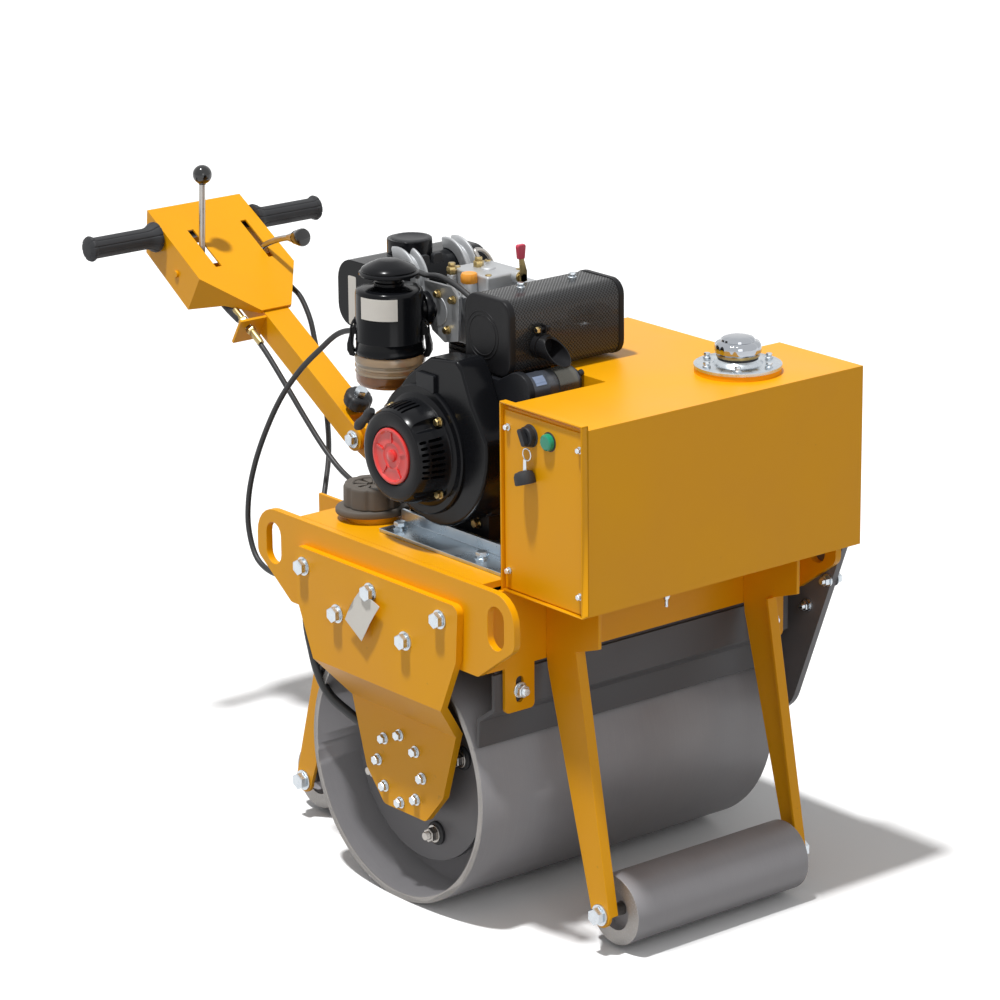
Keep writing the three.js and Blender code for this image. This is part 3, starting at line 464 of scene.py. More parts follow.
# %% Rubber, plastics and labels
rubber = finish("moulded black rubber", "#1E1F22", "#2A2B2E", 30, 0.6, 0.04, (0.62, 0.78))
plastic = finish("grained black plastic", "#1C1D20", "#26272A", 40, 0.7, 0.03, (0.38, 0.52),
                 Specular_IOR_Level=0.3)
gloss_plastic = finish("polished black plastic", "#0F1012", "#17181A", 50, 2.0, 0.004,
                       (0.10, 0.18), Coat_Weight=0.4)
dusty_plastic = finish("dusty grey plastic", "#4A443E", "#6A635B", 18, 0.9, 0.05, (0.6, 0.8))
red = finish("red moulded plastic", "#D4222A", "#EC4438", 22, 1.0, 0.02, (0.28, 0.38),
             Coat_Weight=0.3)
crimson = finish("red dipped vinyl", "#C2304E", "#DA4660", 10, 1.0, 0.02, (0.3, 0.42))
orange = finish("orange moulded plastic", "#EE9420", "#F6A93A", 12, 0.9, 0.02, (0.35, 0.48))
green = finish("green lamp lens", "#06A07A", "#14B48C", 8, 1.0, 0.004, (0.08, 0.14),
               Transmission_Weight=0.25, IOR=1.49)
paper = finish("blank label film", "#DDD8CF", "#E8E4DC", 30, 1.2, 0.004, (0.35, 0.5))
label_grey = finish("blank blue-grey label film", "#7684A0", "#8896AE", 30, 1.2, 0.004,
                    (0.35, 0.5))
hose = finish("braided black hose cover", "#1A1B1D", "#262729", 16, 1.1, 0.08, (0.42, 0.55))
print(len(bpy.data.materials), "finishes")

# %% [markdown]
# ## Bolts, nuts and washers
# A roller shakes itself apart unless everything is bolted with wide washers, so bolt heads are
# its most common detail. A hexagon turned in six steps, with its top edge broken, is enough
# for each head. Each group of bolts is one object, because they come from one box of bolts.

# %% A bolt and a nut
WASHER = 2.5  # thickness in millimetres


def hexagon(bm, seat, axis, flats, low, high):
    """A hexagon across flats, from low to high along its axis, with both ends chamfered."""
    corner = flats / 2 / math.cos(math.pi / 6)
    turn(bm, [(0, low), (corner * 0.94, low), (corner, low + 0.6), (corner, high - 1.2),
              (corner * 0.88, high), (0, high)], seat, axis, 6)


def washer(bm, seat, axis, radius, low, thick):
    """A disc with a small chamfer on its upper edge."""
    turn(bm, [(0, low), (radius, low), (radius, low + thick - 0.4),
              (radius - 0.5, low + thick), (0, low + thick)], seat, axis, 28)


def bolt(bm, seat, axis, flats):
    """A hexagon bolt head on a spring washer and a wide plain washer."""
    washer(bm, seat, axis, flats * 0.68, 0, WASHER)
    washer(bm, seat, axis, flats * 0.50, WASHER, WASHER * 0.7)
    hexagon(bm, seat, axis, flats, WASHER * 1.7, WASHER * 1.7 + flats * 0.42)


def nut(bm, seat, axis, flats, reach):
    """A nut on a washer, with the threaded end of its stud standing out by reach."""
    washer(bm, seat, axis, flats * 0.68, 0, WASHER)
    top = WASHER + flats * 0.52
    hexagon(bm, seat, axis, flats, WASHER, top)
    root, crest, pitch = flats * 0.29, flats * 0.33, max(1.2, flats * 0.09)
    profile = [(0, top - 1)]
    for i in range(int(reach / pitch)):
        profile += [(root, top - 1 + pitch * i), (crest, top - 1 + pitch * (i + 0.5))]
    end = profile[-1][1] + pitch / 2
    turn(bm, profile + [(root, end), (0, end)], seat, axis, 18)


def bolts(name, places, axis, flats, material=zinc, reach=0):
    """One object of equal bolts, or of nuts where the stud stands out."""
    bm = bmesh.new()
    for place in places:
        if reach:
            nut(bm, place, axis, flats, reach)
        else:
            bolt(bm, place, axis, flats)
    return make(name, bm, "frame", material, "zinc")


# %% [markdown]
# Five large bolts hold the drum bracket to the right side plate, eight smaller ones hold the
# hub, and four studs with nuts hold the rubber isolators. On the left, a drive plate is bolted
# on in the same way. Each group sits on one face of a solid, so its seat height is one number.

# %% Bolts of the drum bracket and the hub
AXLE_HEIGHT = 212.5


def round_axle(radius, y, angle):
    """A point on a circle round the drum's axle."""
    return at(radius * math.cos(angle), y, AXLE_HEIGHT + radius * math.sin(angle))


bracket_face, plate_face = -342.3, -290.0
bolts("bracket_bolts", [at(x, bracket_face, 512) for x in (-170, 0, 170)]
      + [at(x, bracket_face, 456) for x in (-85, 85)], -Y, 22)
bolts("hub_bolts", [round_axle(55.7, plate_face, k * math.pi / 4) for k in range(8)], -Y, 14)

# %% Rubber isolators of the drum
disc_face, pad_thick = -249, 6
isolators = [round_axle(112, disc_face, math.radians(20 + 90 * k)) for k in range(4)]
bm = bmesh.new()
for seat in isolators:
    turn(bm, [(0, 0), (19, 0), (19, 4), (16, pad_thick), (0, pad_thick)], seat, -Y, 32)
make("right_isolator_pads", bm, "frame", rubber, "black_rubber")
bolts("right_isolator_nuts", [shift(seat, 0, -pad_thick, 0) for seat in isolators], -Y, 21,
      reach=9, material=steel)

# %% Bolts of the scrapers, the roller axles and the drive plate
cross_faces = {"front": (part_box("front_cross_plate")[1].x, X),
               "rear": (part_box("rear_cross_plate")[0].x, -X)}
for end, (face, axis) in cross_faces.items():
    tabs = [Vector((face, at(0, y, 0).y, 0.402)) for y in (-254.5, 254.5)]
    bolts(end + "_scraper_bolts", tabs, axis, 18, reach=8)
leg_face, roller_height = 203, 64
for side, axis in (("right", -Y), ("left", Y)):
    bm = bmesh.new()
    for x in (-374, 374):
        seat = at(x, axis.y * leg_face, roller_height)
        washer(bm, seat, axis, 17, 0.2, 3)
        hexagon(bm, seat, axis, 24, 3.2, 15)
    make(side + "_axle_bolts", bm, "frame", zinc, "zinc")
corner_bolts, top_bolt = [(301, 462), (256, 410), (-301, 462), (-256, 410)], (0, 490)
bolts("drive_plate_nuts", [at(x, 330.3, z) for x, z in corner_bolts], -Y, 15, reach=7)
bolts("drive_plate_bolts", [at(x, 342.3, z) for x, z in corner_bolts + [top_bolt]], Y, 17)
bolts("motor_cover_bolts", [round_axle(78, 376, k * math.pi / 3 + 0.5) for k in range(6)], Y, 10)

# %% Bolts of the engine, its rails and the hood
rail_foot = 585.8
bolts("right_rail_bolts", [at(x, -252, rail_foot) for x in (-40, 160)], Z, 17,
      material=zinc_sheet)
bolts("left_rail_bolts", [at(-56, 8, rail_foot)], Z, 17, material=zinc_sheet)
bolts("case_bolts", [at(81, -195.7, 611), at(69, -195.7, 626)], -Y, 12, material=yellow_zinc)
bolts("panel_screws", [at(x, -277.8, z) for x in (257, 420) for z in (817, 596)], -Y, 8)
bolts("hood_clip_bolt", [at(420, -113, 564)], -Z, 8, reach=14)

# %% [markdown]
# ## The recoil starter
# The cover over the hand starter is deep-drawn sheet in gloss black. It has a flange, a
# slightly conical wall with slots that let the cooling air in, and four scoops that make room
# for its bolts. It could be cut from a cylinder by hand, but turning the profile and carving
# the slots and then the scoops with a boolean keeps them equal and easy to move.

# %% Carve one mesh with another
def carve(piece, cutters):
    """Cuts a bmesh out of a piece, and bakes the result into its mesh."""
    bmesh.ops.recalc_face_normals(cutters, faces=cutters.faces)
    tool = mesh_object("cutters", cutters)
    cut = piece.modifiers.new("carve", "BOOLEAN")
    cut.object, cut.solver = tool, "EXACT"
    bpy.context.view_layer.update()
    result = bpy.data.meshes.new_from_object(piece.evaluated_get(
        bpy.context.evaluated_depsgraph_get()))
    piece.modifiers.remove(cut)
    piece.data = result
    bpy.data.objects.remove(tool)
    shade_smooth(result)
    result.set_sharp_from_angle(angle=math.radians(SHARP))
    print(piece.name, "carved:", len(result.polygons), "faces")


# %% Recoil cover
crank = at(18, -250.3, 725.5)


def beside_crank(angle, reach):
    """A point some millimetres from the crank's axis. Angles from up, turning backward."""
    return crank + ray(Z, -X, angle) * reach * MM


cover = lathe("recoil_cover", [
    (0, 0), (89, 0), (90, 1.5), (89.5, 5), (87, 7), (84, 8), (81, 9), (79.5, 12), (78, 30),
    (75.5, 46), (73, 54), (69.5, 59.5), (64, 61.7), (48, 61.7), (46, 60.5), (45, 57), (0, 57)],
    crank, -Y, 96, "frame", gloss_black, "gloss_black", stands_for=("recoil_starter",))

# %% Cooling slots and scoops of the cover
SLOT_STEP, SLOT_WIDTH = 7.2, 4.6  # degrees, and millimetres
slot_groups = {-85: 7, 0: 5, 90: 5, 180: 5}
bm = bmesh.new()
for middle_angle, count in slot_groups.items():
    for i in range(count):
        angle = math.radians(middle_angle + (i - (count - 1) / 2) * SLOT_STEP)
        side = ray(Z, -X, angle).cross(Y)
        for low, high in ((19, 43), (46, 57)) if middle_angle else ((20, 55),):
            start = shift(beside_crank(angle, 61), 0, -(low + high) / 2, 0)
            plate(bm, rounded(high - low, SLOT_WIDTH, 2.2, 3), start, Y, side, 40)
carve(cover, bm)
bm = bmesh.new()
scoops = [math.pi / 4 * k for k in (7, 1, 3, 5)]
for angle in scoops:
    turn(bm, [(0, 12), (11, 12), (12.5, 60), (0, 60)], beside_crank(angle, 82), -Y, 24)
carve(cover, bm)
bolts("recoil_bolts", [shift(beside_crank(angle, 80), 0, -11.8, 0) for angle in scoops],
      -Y, 11, material=yellow_zinc)

# %% Red badge disc in the middle of the cover
bm = bmesh.new()
turn(bm, [(0, 57), (43.5, 57), (43.5, 62.5), (42, 64), (39.5, 64), (37, 61), (24, 60), (22, 61),
          (20, 61), (18, 59.5), (10, 59.5), (9, 63), (7, 64.5), (0, 65)], crank, -Y, 72)
for k in range(5):
    angle = math.tau * k / 5
    out = ray(Z, -X, angle)
    plate(bm, rounded(16, 3.4, 1.5, 3), shift(beside_crank(angle, 29), 0, -59, 0), out,
          out.cross(-Y), -3.2)
make("badge_disc", bm, "frame", red, "red_plastic", stands_for=("recoil_badge",))
lathe("badge_surround", [(70, 57), (68, 60.2), (64, 62.3), (48, 62.3), (46, 61), (45.2, 57)],
      crank, -Y, 72, "frame", satin_black, "satin_black", closed=True)

# %% Starter rope grip
bm = bmesh.new()
grip_low, grip_high = at(-106, -282, 738), at(-66, -282, 774)
sweep(bm, [grip_low.lerp(grip_high, t / 8) for t in range(9)],
      [5, 8, 8.5, 7.2, 6.8, 7.2, 8.5, 8, 5])
sweep(bm, smooth([at(-86, -282, 756), at(-76, -276, 748), at(-66, -268, 744)], 6), 2.2)
make("rope_grip", bm, "frame", rubber, "black_rubber")

# %% [markdown]
# ## The air cleaner
# An oil-bath cleaner: air enters under a dome, goes down through a pressed steel canister and
# turns over a bowl of oil that catches the dust. The canister is gloss black with rolled beads,
# the bowl is clear plastic, and the lower part of it looks amber because of the oil. Spring
# clips hold the two together. All round parts are turned about one upright axis.

# %% Canister, dome and label
cleaner = at(-119, -205, 0)
bm = bmesh.new()
turn(bm, [(0, 842), (50, 842), (53.4, 843.2), (54.4, 845.5), (53.8, 848.5), (52.6, 851),
          (52.6, 862), (53.3, 863.5), (52.6, 865), (52.6, 936), (51.6, 941), (48.5, 944),
          (42, 945.6), (26, 947.5), (23.5, 949), (23.5, 953), (21, 955), (21, 966), (0, 966)],
     cleaner, Z, 72)
turn(bm, [(0, 966), (41, 966), (44.6, 964.6), (46.4, 966.4), (46.2, 969.4), (44.2, 970.8),
          (42.6, 971.4), (43, 973.4), (41.4, 976), (33, 980.8), (24, 985), (17, 987.6),
          (14, 988.4), (0, 989)],
     cleaner, Z, 72)
inlet_path = [at(x, y, 905) for x, y in ((-112, -180), (-101.6, -147.4), (-90, -134), (-88, -130))]
sweep(bm, inlet_path, 19, 24)
turn(bm, [(0, -6), (26, -6), (27, -4), (27, 3), (25, 5), (0, 5)], inlet_path[1],
     Vector((0.29, 0.957, 0)), 40)
make("air_cleaner_canister", bm, "frame", gloss_black, "gloss_black",
     stands_for=("air_cleaner",))


def curved_patch(bm, centre, radius, middle_angle, half_angle, low, high, thick=0.5, steps=16):
    """A thin patch on an upright cylinder. Angles in degrees from forward, turning left."""
    rings = []
    for i in range(steps + 1):
        t = math.radians(middle_angle - half_angle + 2 * half_angle * i / steps)
        out = ray(X, Y, t)
        rings.append([centre + (out * r + Z * z) * MM for r, z in
                      ((radius, low), (radius + thick, low), (radius + thick, high),
                       (radius, high))])
    skin(bm, rings)


bm = bmesh.new()
curved_patch(bm, cleaner, 52.7, -58, 34, 903, 937)
make("cleaner_label", bm, "frame", paper, "black_plastic")

# %% Spring clips of the bowl
bm = bmesh.new()
for clip_angle in (-132, 42, 150):
    t = math.radians(clip_angle)
    out, side = ray(X, Y, t), ray(Y, -X, t)
    curved_patch(bm, cleaner, 52, clip_angle, 8, 872, 896, 3, 4)
    plate(bm, [(53, 884), (58, 882), (62, 872), (66, 856), (66, 846), (62, 838), (55, 836),
               (57, 846), (56, 862)], cleaner - side * 6 * MM, out, Z, -12)
    for s in (-8, 8):
        wire = [cleaner + (out * r + side * s + Z * z) * MM for r, z in
                ((54, 893), (58.5, 886), (60, 868), (58, 850), (54.5, 840))]
        sweep(bm, smooth(wire, 5), 1.5, 8)
make("cleaner_clips", bm, "frame", satin_black, "satin_black")

# %% Oil bowl
OIL_LEVEL, MENISCUS = 0.8115, 0.002  # metres from the ground, and the height of its soft edge
amber = finish("amber oil in a clear bowl", "#8E5426", "#B8742E", 16, 1.2, 0.01, (0.10, 0.20),
               Transmission_Weight=0.45, IOR=1.49)
height = node(amber, "ShaderNodeSeparateXYZ", {"Vector": place_of(amber)})
level = node(amber, "ShaderNodeMapRange", {"Value": height.outputs["Z"], "From Min": OIL_LEVEL,
                                           "From Max": OIL_LEVEL + MENISCUS})
tint(amber, level.outputs["Result"], "#A89880")
report(amber)
lathe("oil_bowl", [
    (0, 792), (44, 792), (49, 793.5), (52, 797), (53.2, 802), (53.2, 812), (54.4, 813.2),
    (54.4, 814.6), (53.4, 816), (53.6, 821), (54.8, 822.2), (54.8, 823.8), (53.8, 825),
    (54, 829), (55, 830.5), (54.6, 838), (52.6, 842), (0, 842)],
    cleaner, Z, 72, "frame", amber, "amber_plastic", stands_for=("air_cleaner_bowl",))

# %% [markdown]
# ## The muffler and its guard
# The silencer is a drawn steel box in a guard of perforated sheet, so that nobody touches the
# hot part. Its holes are about 3 mm wide in staggered rows. Nearly five thousand real holes
# would be heavy, so the sheet carries a flat pattern with a bump: its own map holds metres
# round and along it, and a grid of cells turned by 45 degrees gives the staggered rows. The
# holes are painted nearly black, which is painted shade of the dark space behind the sheet.

# %% Perforated sheet
HOLE_PITCH, HOLE = 4.3, 0.39  # millimetres, and a hole's radius as a share of the pitch
HOLE_EDGE = 0.04  # how softly a hole's edge fades, as a share of the pitch
perforated = finish("perforated black steel sheet", "#1B1C1E", "#27282B", 50, 1.5, 0.01,
                    (0.26, 0.38), Coat_Weight=0.2)
sheet_map = node(perforated, "ShaderNodeUVMap", uv_map="sheet")
turned = node(perforated, "ShaderNodeMapping", {"Vector": sheet_map.outputs["UV"],
              "Rotation": (0, 0, math.pi / 4), "Scale": (1000 / HOLE_PITCH,) * 3})
rows = node(perforated, "ShaderNodeTexVoronoi", {"Vector": turned.outputs["Vector"],
            "Scale": 1.0, "Randomness": 0.0}, voronoi_dimensions="2D")
hole_and_shade = node(perforated, "ShaderNodeMapRange", {"Value": rows.outputs["Distance"],
            "From Min": HOLE - HOLE_EDGE, "From Max": HOLE + HOLE_EDGE,
            "To Min": 1.0, "To Max": 0.0}).outputs["Result"]
# The holes are painted nearly black: painted shade of the space behind the sheet.
tint(perforated, hole_and_shade, "#040404")
painted_rough = shader_of(perforated).inputs["Roughness"].links[0].from_socket
dull = node(perforated, "ShaderNodeMix", {"Factor": hole_and_shade, "A": painted_rough, "B": 1.0})
dent = node(perforated, "ShaderNodeBump", {"Height": hole_and_shade, "Strength": 0.9,
                                           "Distance": 0.6 * MM}, invert=True)
feed(perforated, Roughness=dull.outputs["Result"], Normal=dent.outputs["Normal"])
report(perforated)

# %% Pressed end caps of the muffler
muffler_middle, muffler_near, muffler_far = (99.5, 909), -190, 38
GUARD_GROWTH = 1.2  # how far the guard stands off the muffler


def muffler_ring(grow, y):
    """The outline of the muffler, grown by some millimetres, at one place along it."""
    return [at(muffler_middle[0] + a, y, muffler_middle[1] + b)
            for a, b in rounded(103 + 2 * grow, 114 + 2 * grow, 22 + grow, 7)]


bm = bmesh.new()
for end, inward in ((muffler_near, 1), (muffler_far, -1)):
    skin(bm, [muffler_ring(g, end + inward * d) for g, d in (
        (-20, 1.2), (-8, 0.8), (-2, 0.4), (0.8, 1.2), (2, 2.8), (2.4, 5), (2.4, 12),
        (0.5, 12), (0.4, 14), (-20, 14))])
ring_middle = at(88, muffler_near + 1.2, 907)
for radius in (37, 31):
    turn(bm, [(radius - 1.6, -1), (radius - 0.8, 0.8), (radius + 0.8, 0.8), (radius + 1.6, -1)],
         ring_middle, -Y, 40, closed=True)
make("muffler_caps", bm, "frame", satin_black, "satin_black", 0.5, ("muffler",))

# %% Guard of the muffler, with its map in metres round and along it
bm = bmesh.new()
sheet = bm.loops.layers.uv.new("sheet")
around = muffler_ring(GUARD_GROWTH, 0)
lengths = [0.0]
for a, b in zip(around, around[1:] + around[:1]):
    lengths.append(lengths[-1] + (b - a).length)
rings = [[bm.verts.new(p) for p in muffler_ring(GUARD_GROWTH, y)]
         for y in (muffler_near + 8, -75, muffler_far - 8)]
for near, far in zip(rings, rings[1:]):
    for i in range(len(near)):
        j = (i + 1) % len(near)
        face = bm.faces.new((near[i], near[j], far[j], far[i]))
        for loop, run in zip(face.loops, (lengths[i], lengths[i + 1], lengths[i + 1], lengths[i])):
            loop[sheet].uv = (run, loop.vert.co.y)
bm.faces.new(rings[0])
bm.faces.new(rings[-1])
make("muffler_guard", bm, "frame", perforated, "satin_black", angle=60)
bolts("muffler_bolts", [at(88, -114, 967.2), at(92, -16, 967.2)], Z, 10)

# %% Exhaust outlet, cut on the slant
outlet, SLANT = at(150, -132, 894), 42
rings = []
for radius, reach, lean in ((18, 0, 0), (18, 26, 0), (18.8, 42, SLANT), (17.2, 42, SLANT),
                            (16.4, 12, 0), (0.01, 12, 0)):
    droop = max(0, reach - 30) * 0.25
    rings.append([outlet + (X * (reach - lean / 2 * (math.cos(t) - 0.2))
                            + ray(Z, Y, t) * radius - Z * droop) * MM
                  for t in (math.tau * k / 40 for k in range(40))])
bm = bmesh.new()
skin(bm, rings)
make("exhaust_outlet", bm, "frame", satin_black, "satin_black")

# %% Clamp of the outlet
screw = shift(outlet, 10, 0, 26)
bm = bmesh.new()
turn(bm, [(18.1, 5), (20, 5), (20, 15), (18.1, 15)], outlet, X, 40, closed=True)
plate(bm, rounded(10, 14, 2), shift(outlet, 5, 5, 24), X, Z, -0.5)
for y in (-5, 5):
    plate(bm, rounded(10, 15, 2), shift(outlet, 10, y, 25), X, Z, 2)
sweep(bm, [shift(screw, 0, y, 0) for y in (-13, 15)], 2.6)
hexagon(bm, shift(screw, 0, 7, 0), Y, 9, 0, 6)
make("outlet_clamp", bm, "frame", satin_black, "satin_black")
bm = bmesh.new()
hexagon(bm, shift(screw, 0, -5.5, 0), -Y, 9, 0, 7)
make("outlet_clamp_bolt", bm, "frame", yellow_zinc, "zinc")

# %% [markdown]
# ## The cylinder head and the small parts on it
# The head is cast aluminium. It carries the rocker cover, a decompression lever with a red
# sleeve, an orange oil plug, the injector with its plated nuts, and the inlet adapter. These
# parts are small, but they are the bright spots that make an engine look like one.

# %% Rocker cover bosses and bolts
COVER_TOP = 936
rocker_corners = [(-70, -110), (6, -110), (-70, -50), (6, -50)]
oil_neck = at(-21, -126, 0)
bm = bmesh.new()
for x, y in rocker_corners:
    turn(bm, [(0, COVER_TOP), (9, COVER_TOP), (8, 962), (7, 964), (0, 964)], at(x, y, 0), Z, 20)
turn(bm, [(0, COVER_TOP), (15, COVER_TOP), (12.5, 956), (11, 958), (0, 958)], oil_neck, Z, 28)
turn(bm, [(0, COVER_TOP), (8, COVER_TOP), (7.5, 961), (6, 963), (0, 963)], at(-66, -124, 0),
     Z, 20)
sweep(bm, [at(10, -62, 962), at(24, -62, 964)], [11, 9], 20)
turn(bm, [(0, 968), (12, 968), (12, 971), (9, 973), (0, 973)], at(-32, -80, 0), Z, 24)
plate(bm, [(-108, 948), (-42, 949), (-24, 934), (-26, 866), (-60, 858), (-90, 872), (-106, 900)],
      at(0, -139, 0), X, Z, 6)
sweep(bm, [at(-76, -146, 906), at(-76, -129, 906)], [24, 26], 24)
make("rocker_cover_bosses", bm, "frame", cast_alloy, "cast_alloy", 0.8)
bolts("rocker_cover_bolts", [at(x, y, 964) for x, y in rocker_corners], Z, 9,
      material=yellow_zinc)
bolts("adapter_bolts", [at(x, -145.2, z) for x, z in ((-72, 933), (-50, 880), (-36, 930))],
      -Y, 10, material=yellow_zinc)

# %% Oil plug, nuts and decompression lever
lathe("oil_plug", [(0, 957), (12, 957), (13, 959), (13, 969), (11.5, 972), (0, 972)], oil_neck,
      Z, 48, "frame", orange, "amber_plastic", lobe=lambda t: 1 + 0.03 * math.cos(12 * t))
bm = bmesh.new()
washer(bm, at(24, -62, 964), X, 9, 0, 3)
hexagon(bm, at(24, -62, 964), X, 13, 3, 9)
plate(bm, [(-6, -8), (6, -8), (7, 8), (9, 34), (2, 34), (-6, 8)], at(31, -62, 966), -Y, Z, -2)
for x, y, z in ((-50, -84, 968), (-66, -124, 962)):
    hexagon(bm, at(x, y, 0), Z, 14, z, z + 12)
    hexagon(bm, at(x, y, 0), Z, 10, z + 11, z + 18)
make("injector_and_lever_nuts", bm, "frame", yellow_zinc, "zinc")
bm = bmesh.new()
skin(bm, [[at(x, y, z) for x, y in ((28, -73 + t), (35, -73 + t), (35, -61 - t), (28, -61 - t))]
          for z, t in ((994, 1), (996, 0), (1014, -2), (1017, 0))])
make("decompression_lever_sleeve", bm, "frame", crimson, "red_plastic", 1.2)

# %% Injector pipe and breather hose
bm = bmesh.new()
sweep(bm, smooth([at(-50, -84, 984), at(-58, -84, 994), at(-68, -60, 988), at(-82, -30, 960),
                  at(-96, -8, 900), at(-92, 8, 840)], 8), 3)
make("injector_pipe", bm, "frame", steel, "zinc")
bm = bmesh.new()
sweep(bm, smooth([at(-160, -118, 940), at(-130, -138, 955), at(-101, -146, 957),
                  at(-68, -149, 962), at(-32, -151, 959), at(6, -152, 948),
                  at(40, -150, 930), at(52, -150, 915)], 8), 4.5)
make("breather_hose", bm, "frame", hose, "black_rubber")

# %% Cooling fins of the cylinder
FIN_COUNT, FIN_PITCH, FIN = 7, 8.5, 3
bm = bmesh.new()
for k in range(FIN_COUNT):
    plate(bm, [(a - 25, b - 59) for a, b in rounded(122, 130, 16)],
          at(0, 0, 797 + k * FIN_PITCH), X, Y, FIN)
make("cylinder_fins", bm, "frame", cast_black, "satin_black", 0.5)

# %% Fan housing: seat of the cover, blank plate and bosses
lathe("fan_housing_seat", [(88, -1), (101, -1), (101, 3.5), (98.5, 5.5), (93, 5.5), (88, 5.5)],
      crank, -Y, 80, "frame", gloss_black, "gloss_black", closed=True)
bm = bmesh.new()
plate(bm, rounded(42, 28, 3), at(31, -249, 833), X, Z, 6.5)
make("blank_plate", bm, "frame", cast_black, "satin_black", 0.8)
bosses = [at(x, -196, z) for x, z in ((108, 640), (112, 819), (-62, 640))]
bm = bmesh.new()
for boss in bosses:
    turn(bm, [(0, -30), (13, -30), (12, 4), (10, 6), (0, 6)], boss, -Y, 24)
make("housing_bosses", bm, "frame", cast_black, "satin_black")
bolts("housing_bolts", [shift(boss, 0, -6, 0) for boss in bosses], -Y, 12, material=yellow_zinc)

# %% Electric starter
starter = at(176, 0, 836)
bm = bmesh.new()
turn(bm, [(0, 92), (24.6, 92), (25.3, 94), (25.3, 150), (26, 151), (26, 153), (25.3, 154),
          (25.3, 184), (0, 184)], starter, -Y, 40)
turn(bm, [(0, 150), (25.6, 150), (25.6, 184), (0, 184)], starter, -Y, 40)
make("starter_body", bm, "frame", motor_enamel, "satin_black", stands_for=("starter_motor",))
lathe("starter_yoke", [(25.2, 96), (26, 96), (26, 132), (25.2, 132)], starter, -Y, 40, "frame",
      phosphated, "satin_black", closed=True)
bm = bmesh.new()
turn(bm, [(0, 84), (19, 84), (21, 87), (22, 92), (0, 92)], starter, -Y, 32)
sweep(bm, [shift(starter, 12, -86, 12), shift(starter, 12, -78, 14)], 5)
make("starter_end", bm, "frame", plastic, "black_plastic")

# %% Label of the starter
LABEL_STEPS, LABEL_STEP = 4, 9  # strips round the body, and degrees in each
bm = bmesh.new()
for k in range(LABEL_STEPS):
    near, far = (math.radians(-64 + (k + e) * LABEL_STEP) for e in (0, 1))
    skin(bm, [[starter + (ray(Z, -X, t) * r - Y * y) * MM
               for t, r in ((near, 25.4), (far, 25.4), (far, 26.3), (near, 26.3))]
              for y in (156, 176)])
make("starter_label", bm, "frame", label_grey, "black_plastic")

# %% Fuel tank: knurled cap
lathe("fuel_cap", [
    (0, 957), (32.6, 957), (33.2, 959), (33.2, 981), (32.4, 983.4), (30.6, 984.6), (24, 985),
    (22, 984), (0, 984)], at(-228.5, -76, 0), Z, 96, "frame", plastic, "black_plastic",
    lobe=lambda t: 1 + 0.012 * math.cos(24 * t))

# %% Cast brackets of the fuel tank
tank_corner, corner_reach = at(-214, 0, 924), 39.5
bracket_section = [(-4.5, -13), (-4.5, 13), (10, 13), (13, 11), (13, 8), (10, 6), (3, 4),
                   (3, -4), (10, -6), (13, -8), (13, -11), (10, -13)]
spine = [(tank_corner + ray(X, Z, t) * corner_reach * MM, t)
         for t in (math.radians(a) for a in range(105, -11, -8))]
spine += [(at(x, 0, z), math.radians(t)) for x, z, t in
          ((-168, 908, 10), (-156, 896, 50), (-140, 892, 80), (-116, 894, 95), (-92.4, 896, 95))]
for name in ("right_tank_strap", "left_tank_strap"):
    low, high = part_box(name)
    strap_y = (low.y + high.y) / 2
    bm = bmesh.new()
    skin(bm, [[Vector((p.x, strap_y, p.z)) + (ray(X, Z, t) * a + Y * b) * MM
               for a, b in bracket_section] for p, t in spine])
    make(name.replace("strap", "bracket"), bm, "frame", cast_alloy, "cast_alloy", 0.6, (name,))

# %% Label and pads of the fuel tank
bm = bmesh.new()
plate(bm, rounded(20, 78, 3), at(-250, -176.5, 894), X, Z, 0.9)
make("tank_label", bm, "frame", paper, "black_plastic")
bm = bmesh.new()
for y in (-54, -80):
    plate(bm, rounded(18, 24, 5), at(-196, y, 950), Y, Z, 8)
make("tank_pads", bm, "frame", rubber, "black_rubber", 1.0)

# %% [markdown]
# ## Scraper hangers
# Each scraper blade is held against the drum by a bent plate. Its upper half goes up behind
# the cross plate, so no daylight shows between the frame and the drum.

# %% Hanger plates over the scrapers
for end, face in (("front", 238.5), ("rear", -196.5)):
    blade_low, blade_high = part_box(end + "_scraper")
    half = (blade_high.y - blade_low.y) / 2 / MM - 6
    top = blade_high.z / MM
    bm = bmesh.new()
    plate(bm, [(-half, top - 4), (half, top - 4), (half, 470), (-half, 470)],
          at(face, 0, 0), Y, Z, -3 if face > 0 else 3)
    # The hangers share the scrapers' grey with its painted shade.
    make(end + "_scraper_hanger", bm, "frame", shade_darkened_scraper_paint, "dark_grey_paint", 0.4)

# %% [markdown]
# ## Caps, switch and lamp
# The water filler has a chromed cap with ten finger lobes over a yellow ring, bolted to the
# hood by a flange. The hydraulic tank under the deck has a low, wide plastic cap with two
# wings. Both are turned with a radius that swells and shrinks with the angle.

# %% Water filler
filler = at(326, 112, 0)
lathe("filler_riser", [(0, 846.3), (66, 846.3), (66, 853.6), (64.5, 854), (0, 854)], filler, Z,
      72, "frame", yellow, "yellow_paint", stands_for=("tank_cap",))
lathe("filler_flange", [(0, 854), (67, 854), (67, 858.4), (66, 859), (38, 859), (36, 862),
                        (33, 864), (31, 866), (0, 866)], filler, Z, 72, "frame", zinc, "zinc")
bolts("filler_bolts", [shift(filler + ray(X, Y, math.tau * k / 6 + 0.3) * 54 * MM, 0, 0, 859)
                       for k in range(6)], Z, 9)
lathe("filler_gasket", [(0, 865), (30, 865), (31, 867), (31, 870), (0, 870)], filler, Z, 48,
      "frame", rubber, "black_rubber")
lathe("filler_ring", [(0, 870), (32.5, 870), (33, 871.5), (33, 874), (0, 874)], filler, Z, 48,
      "frame", yellow_zinc, "zinc")
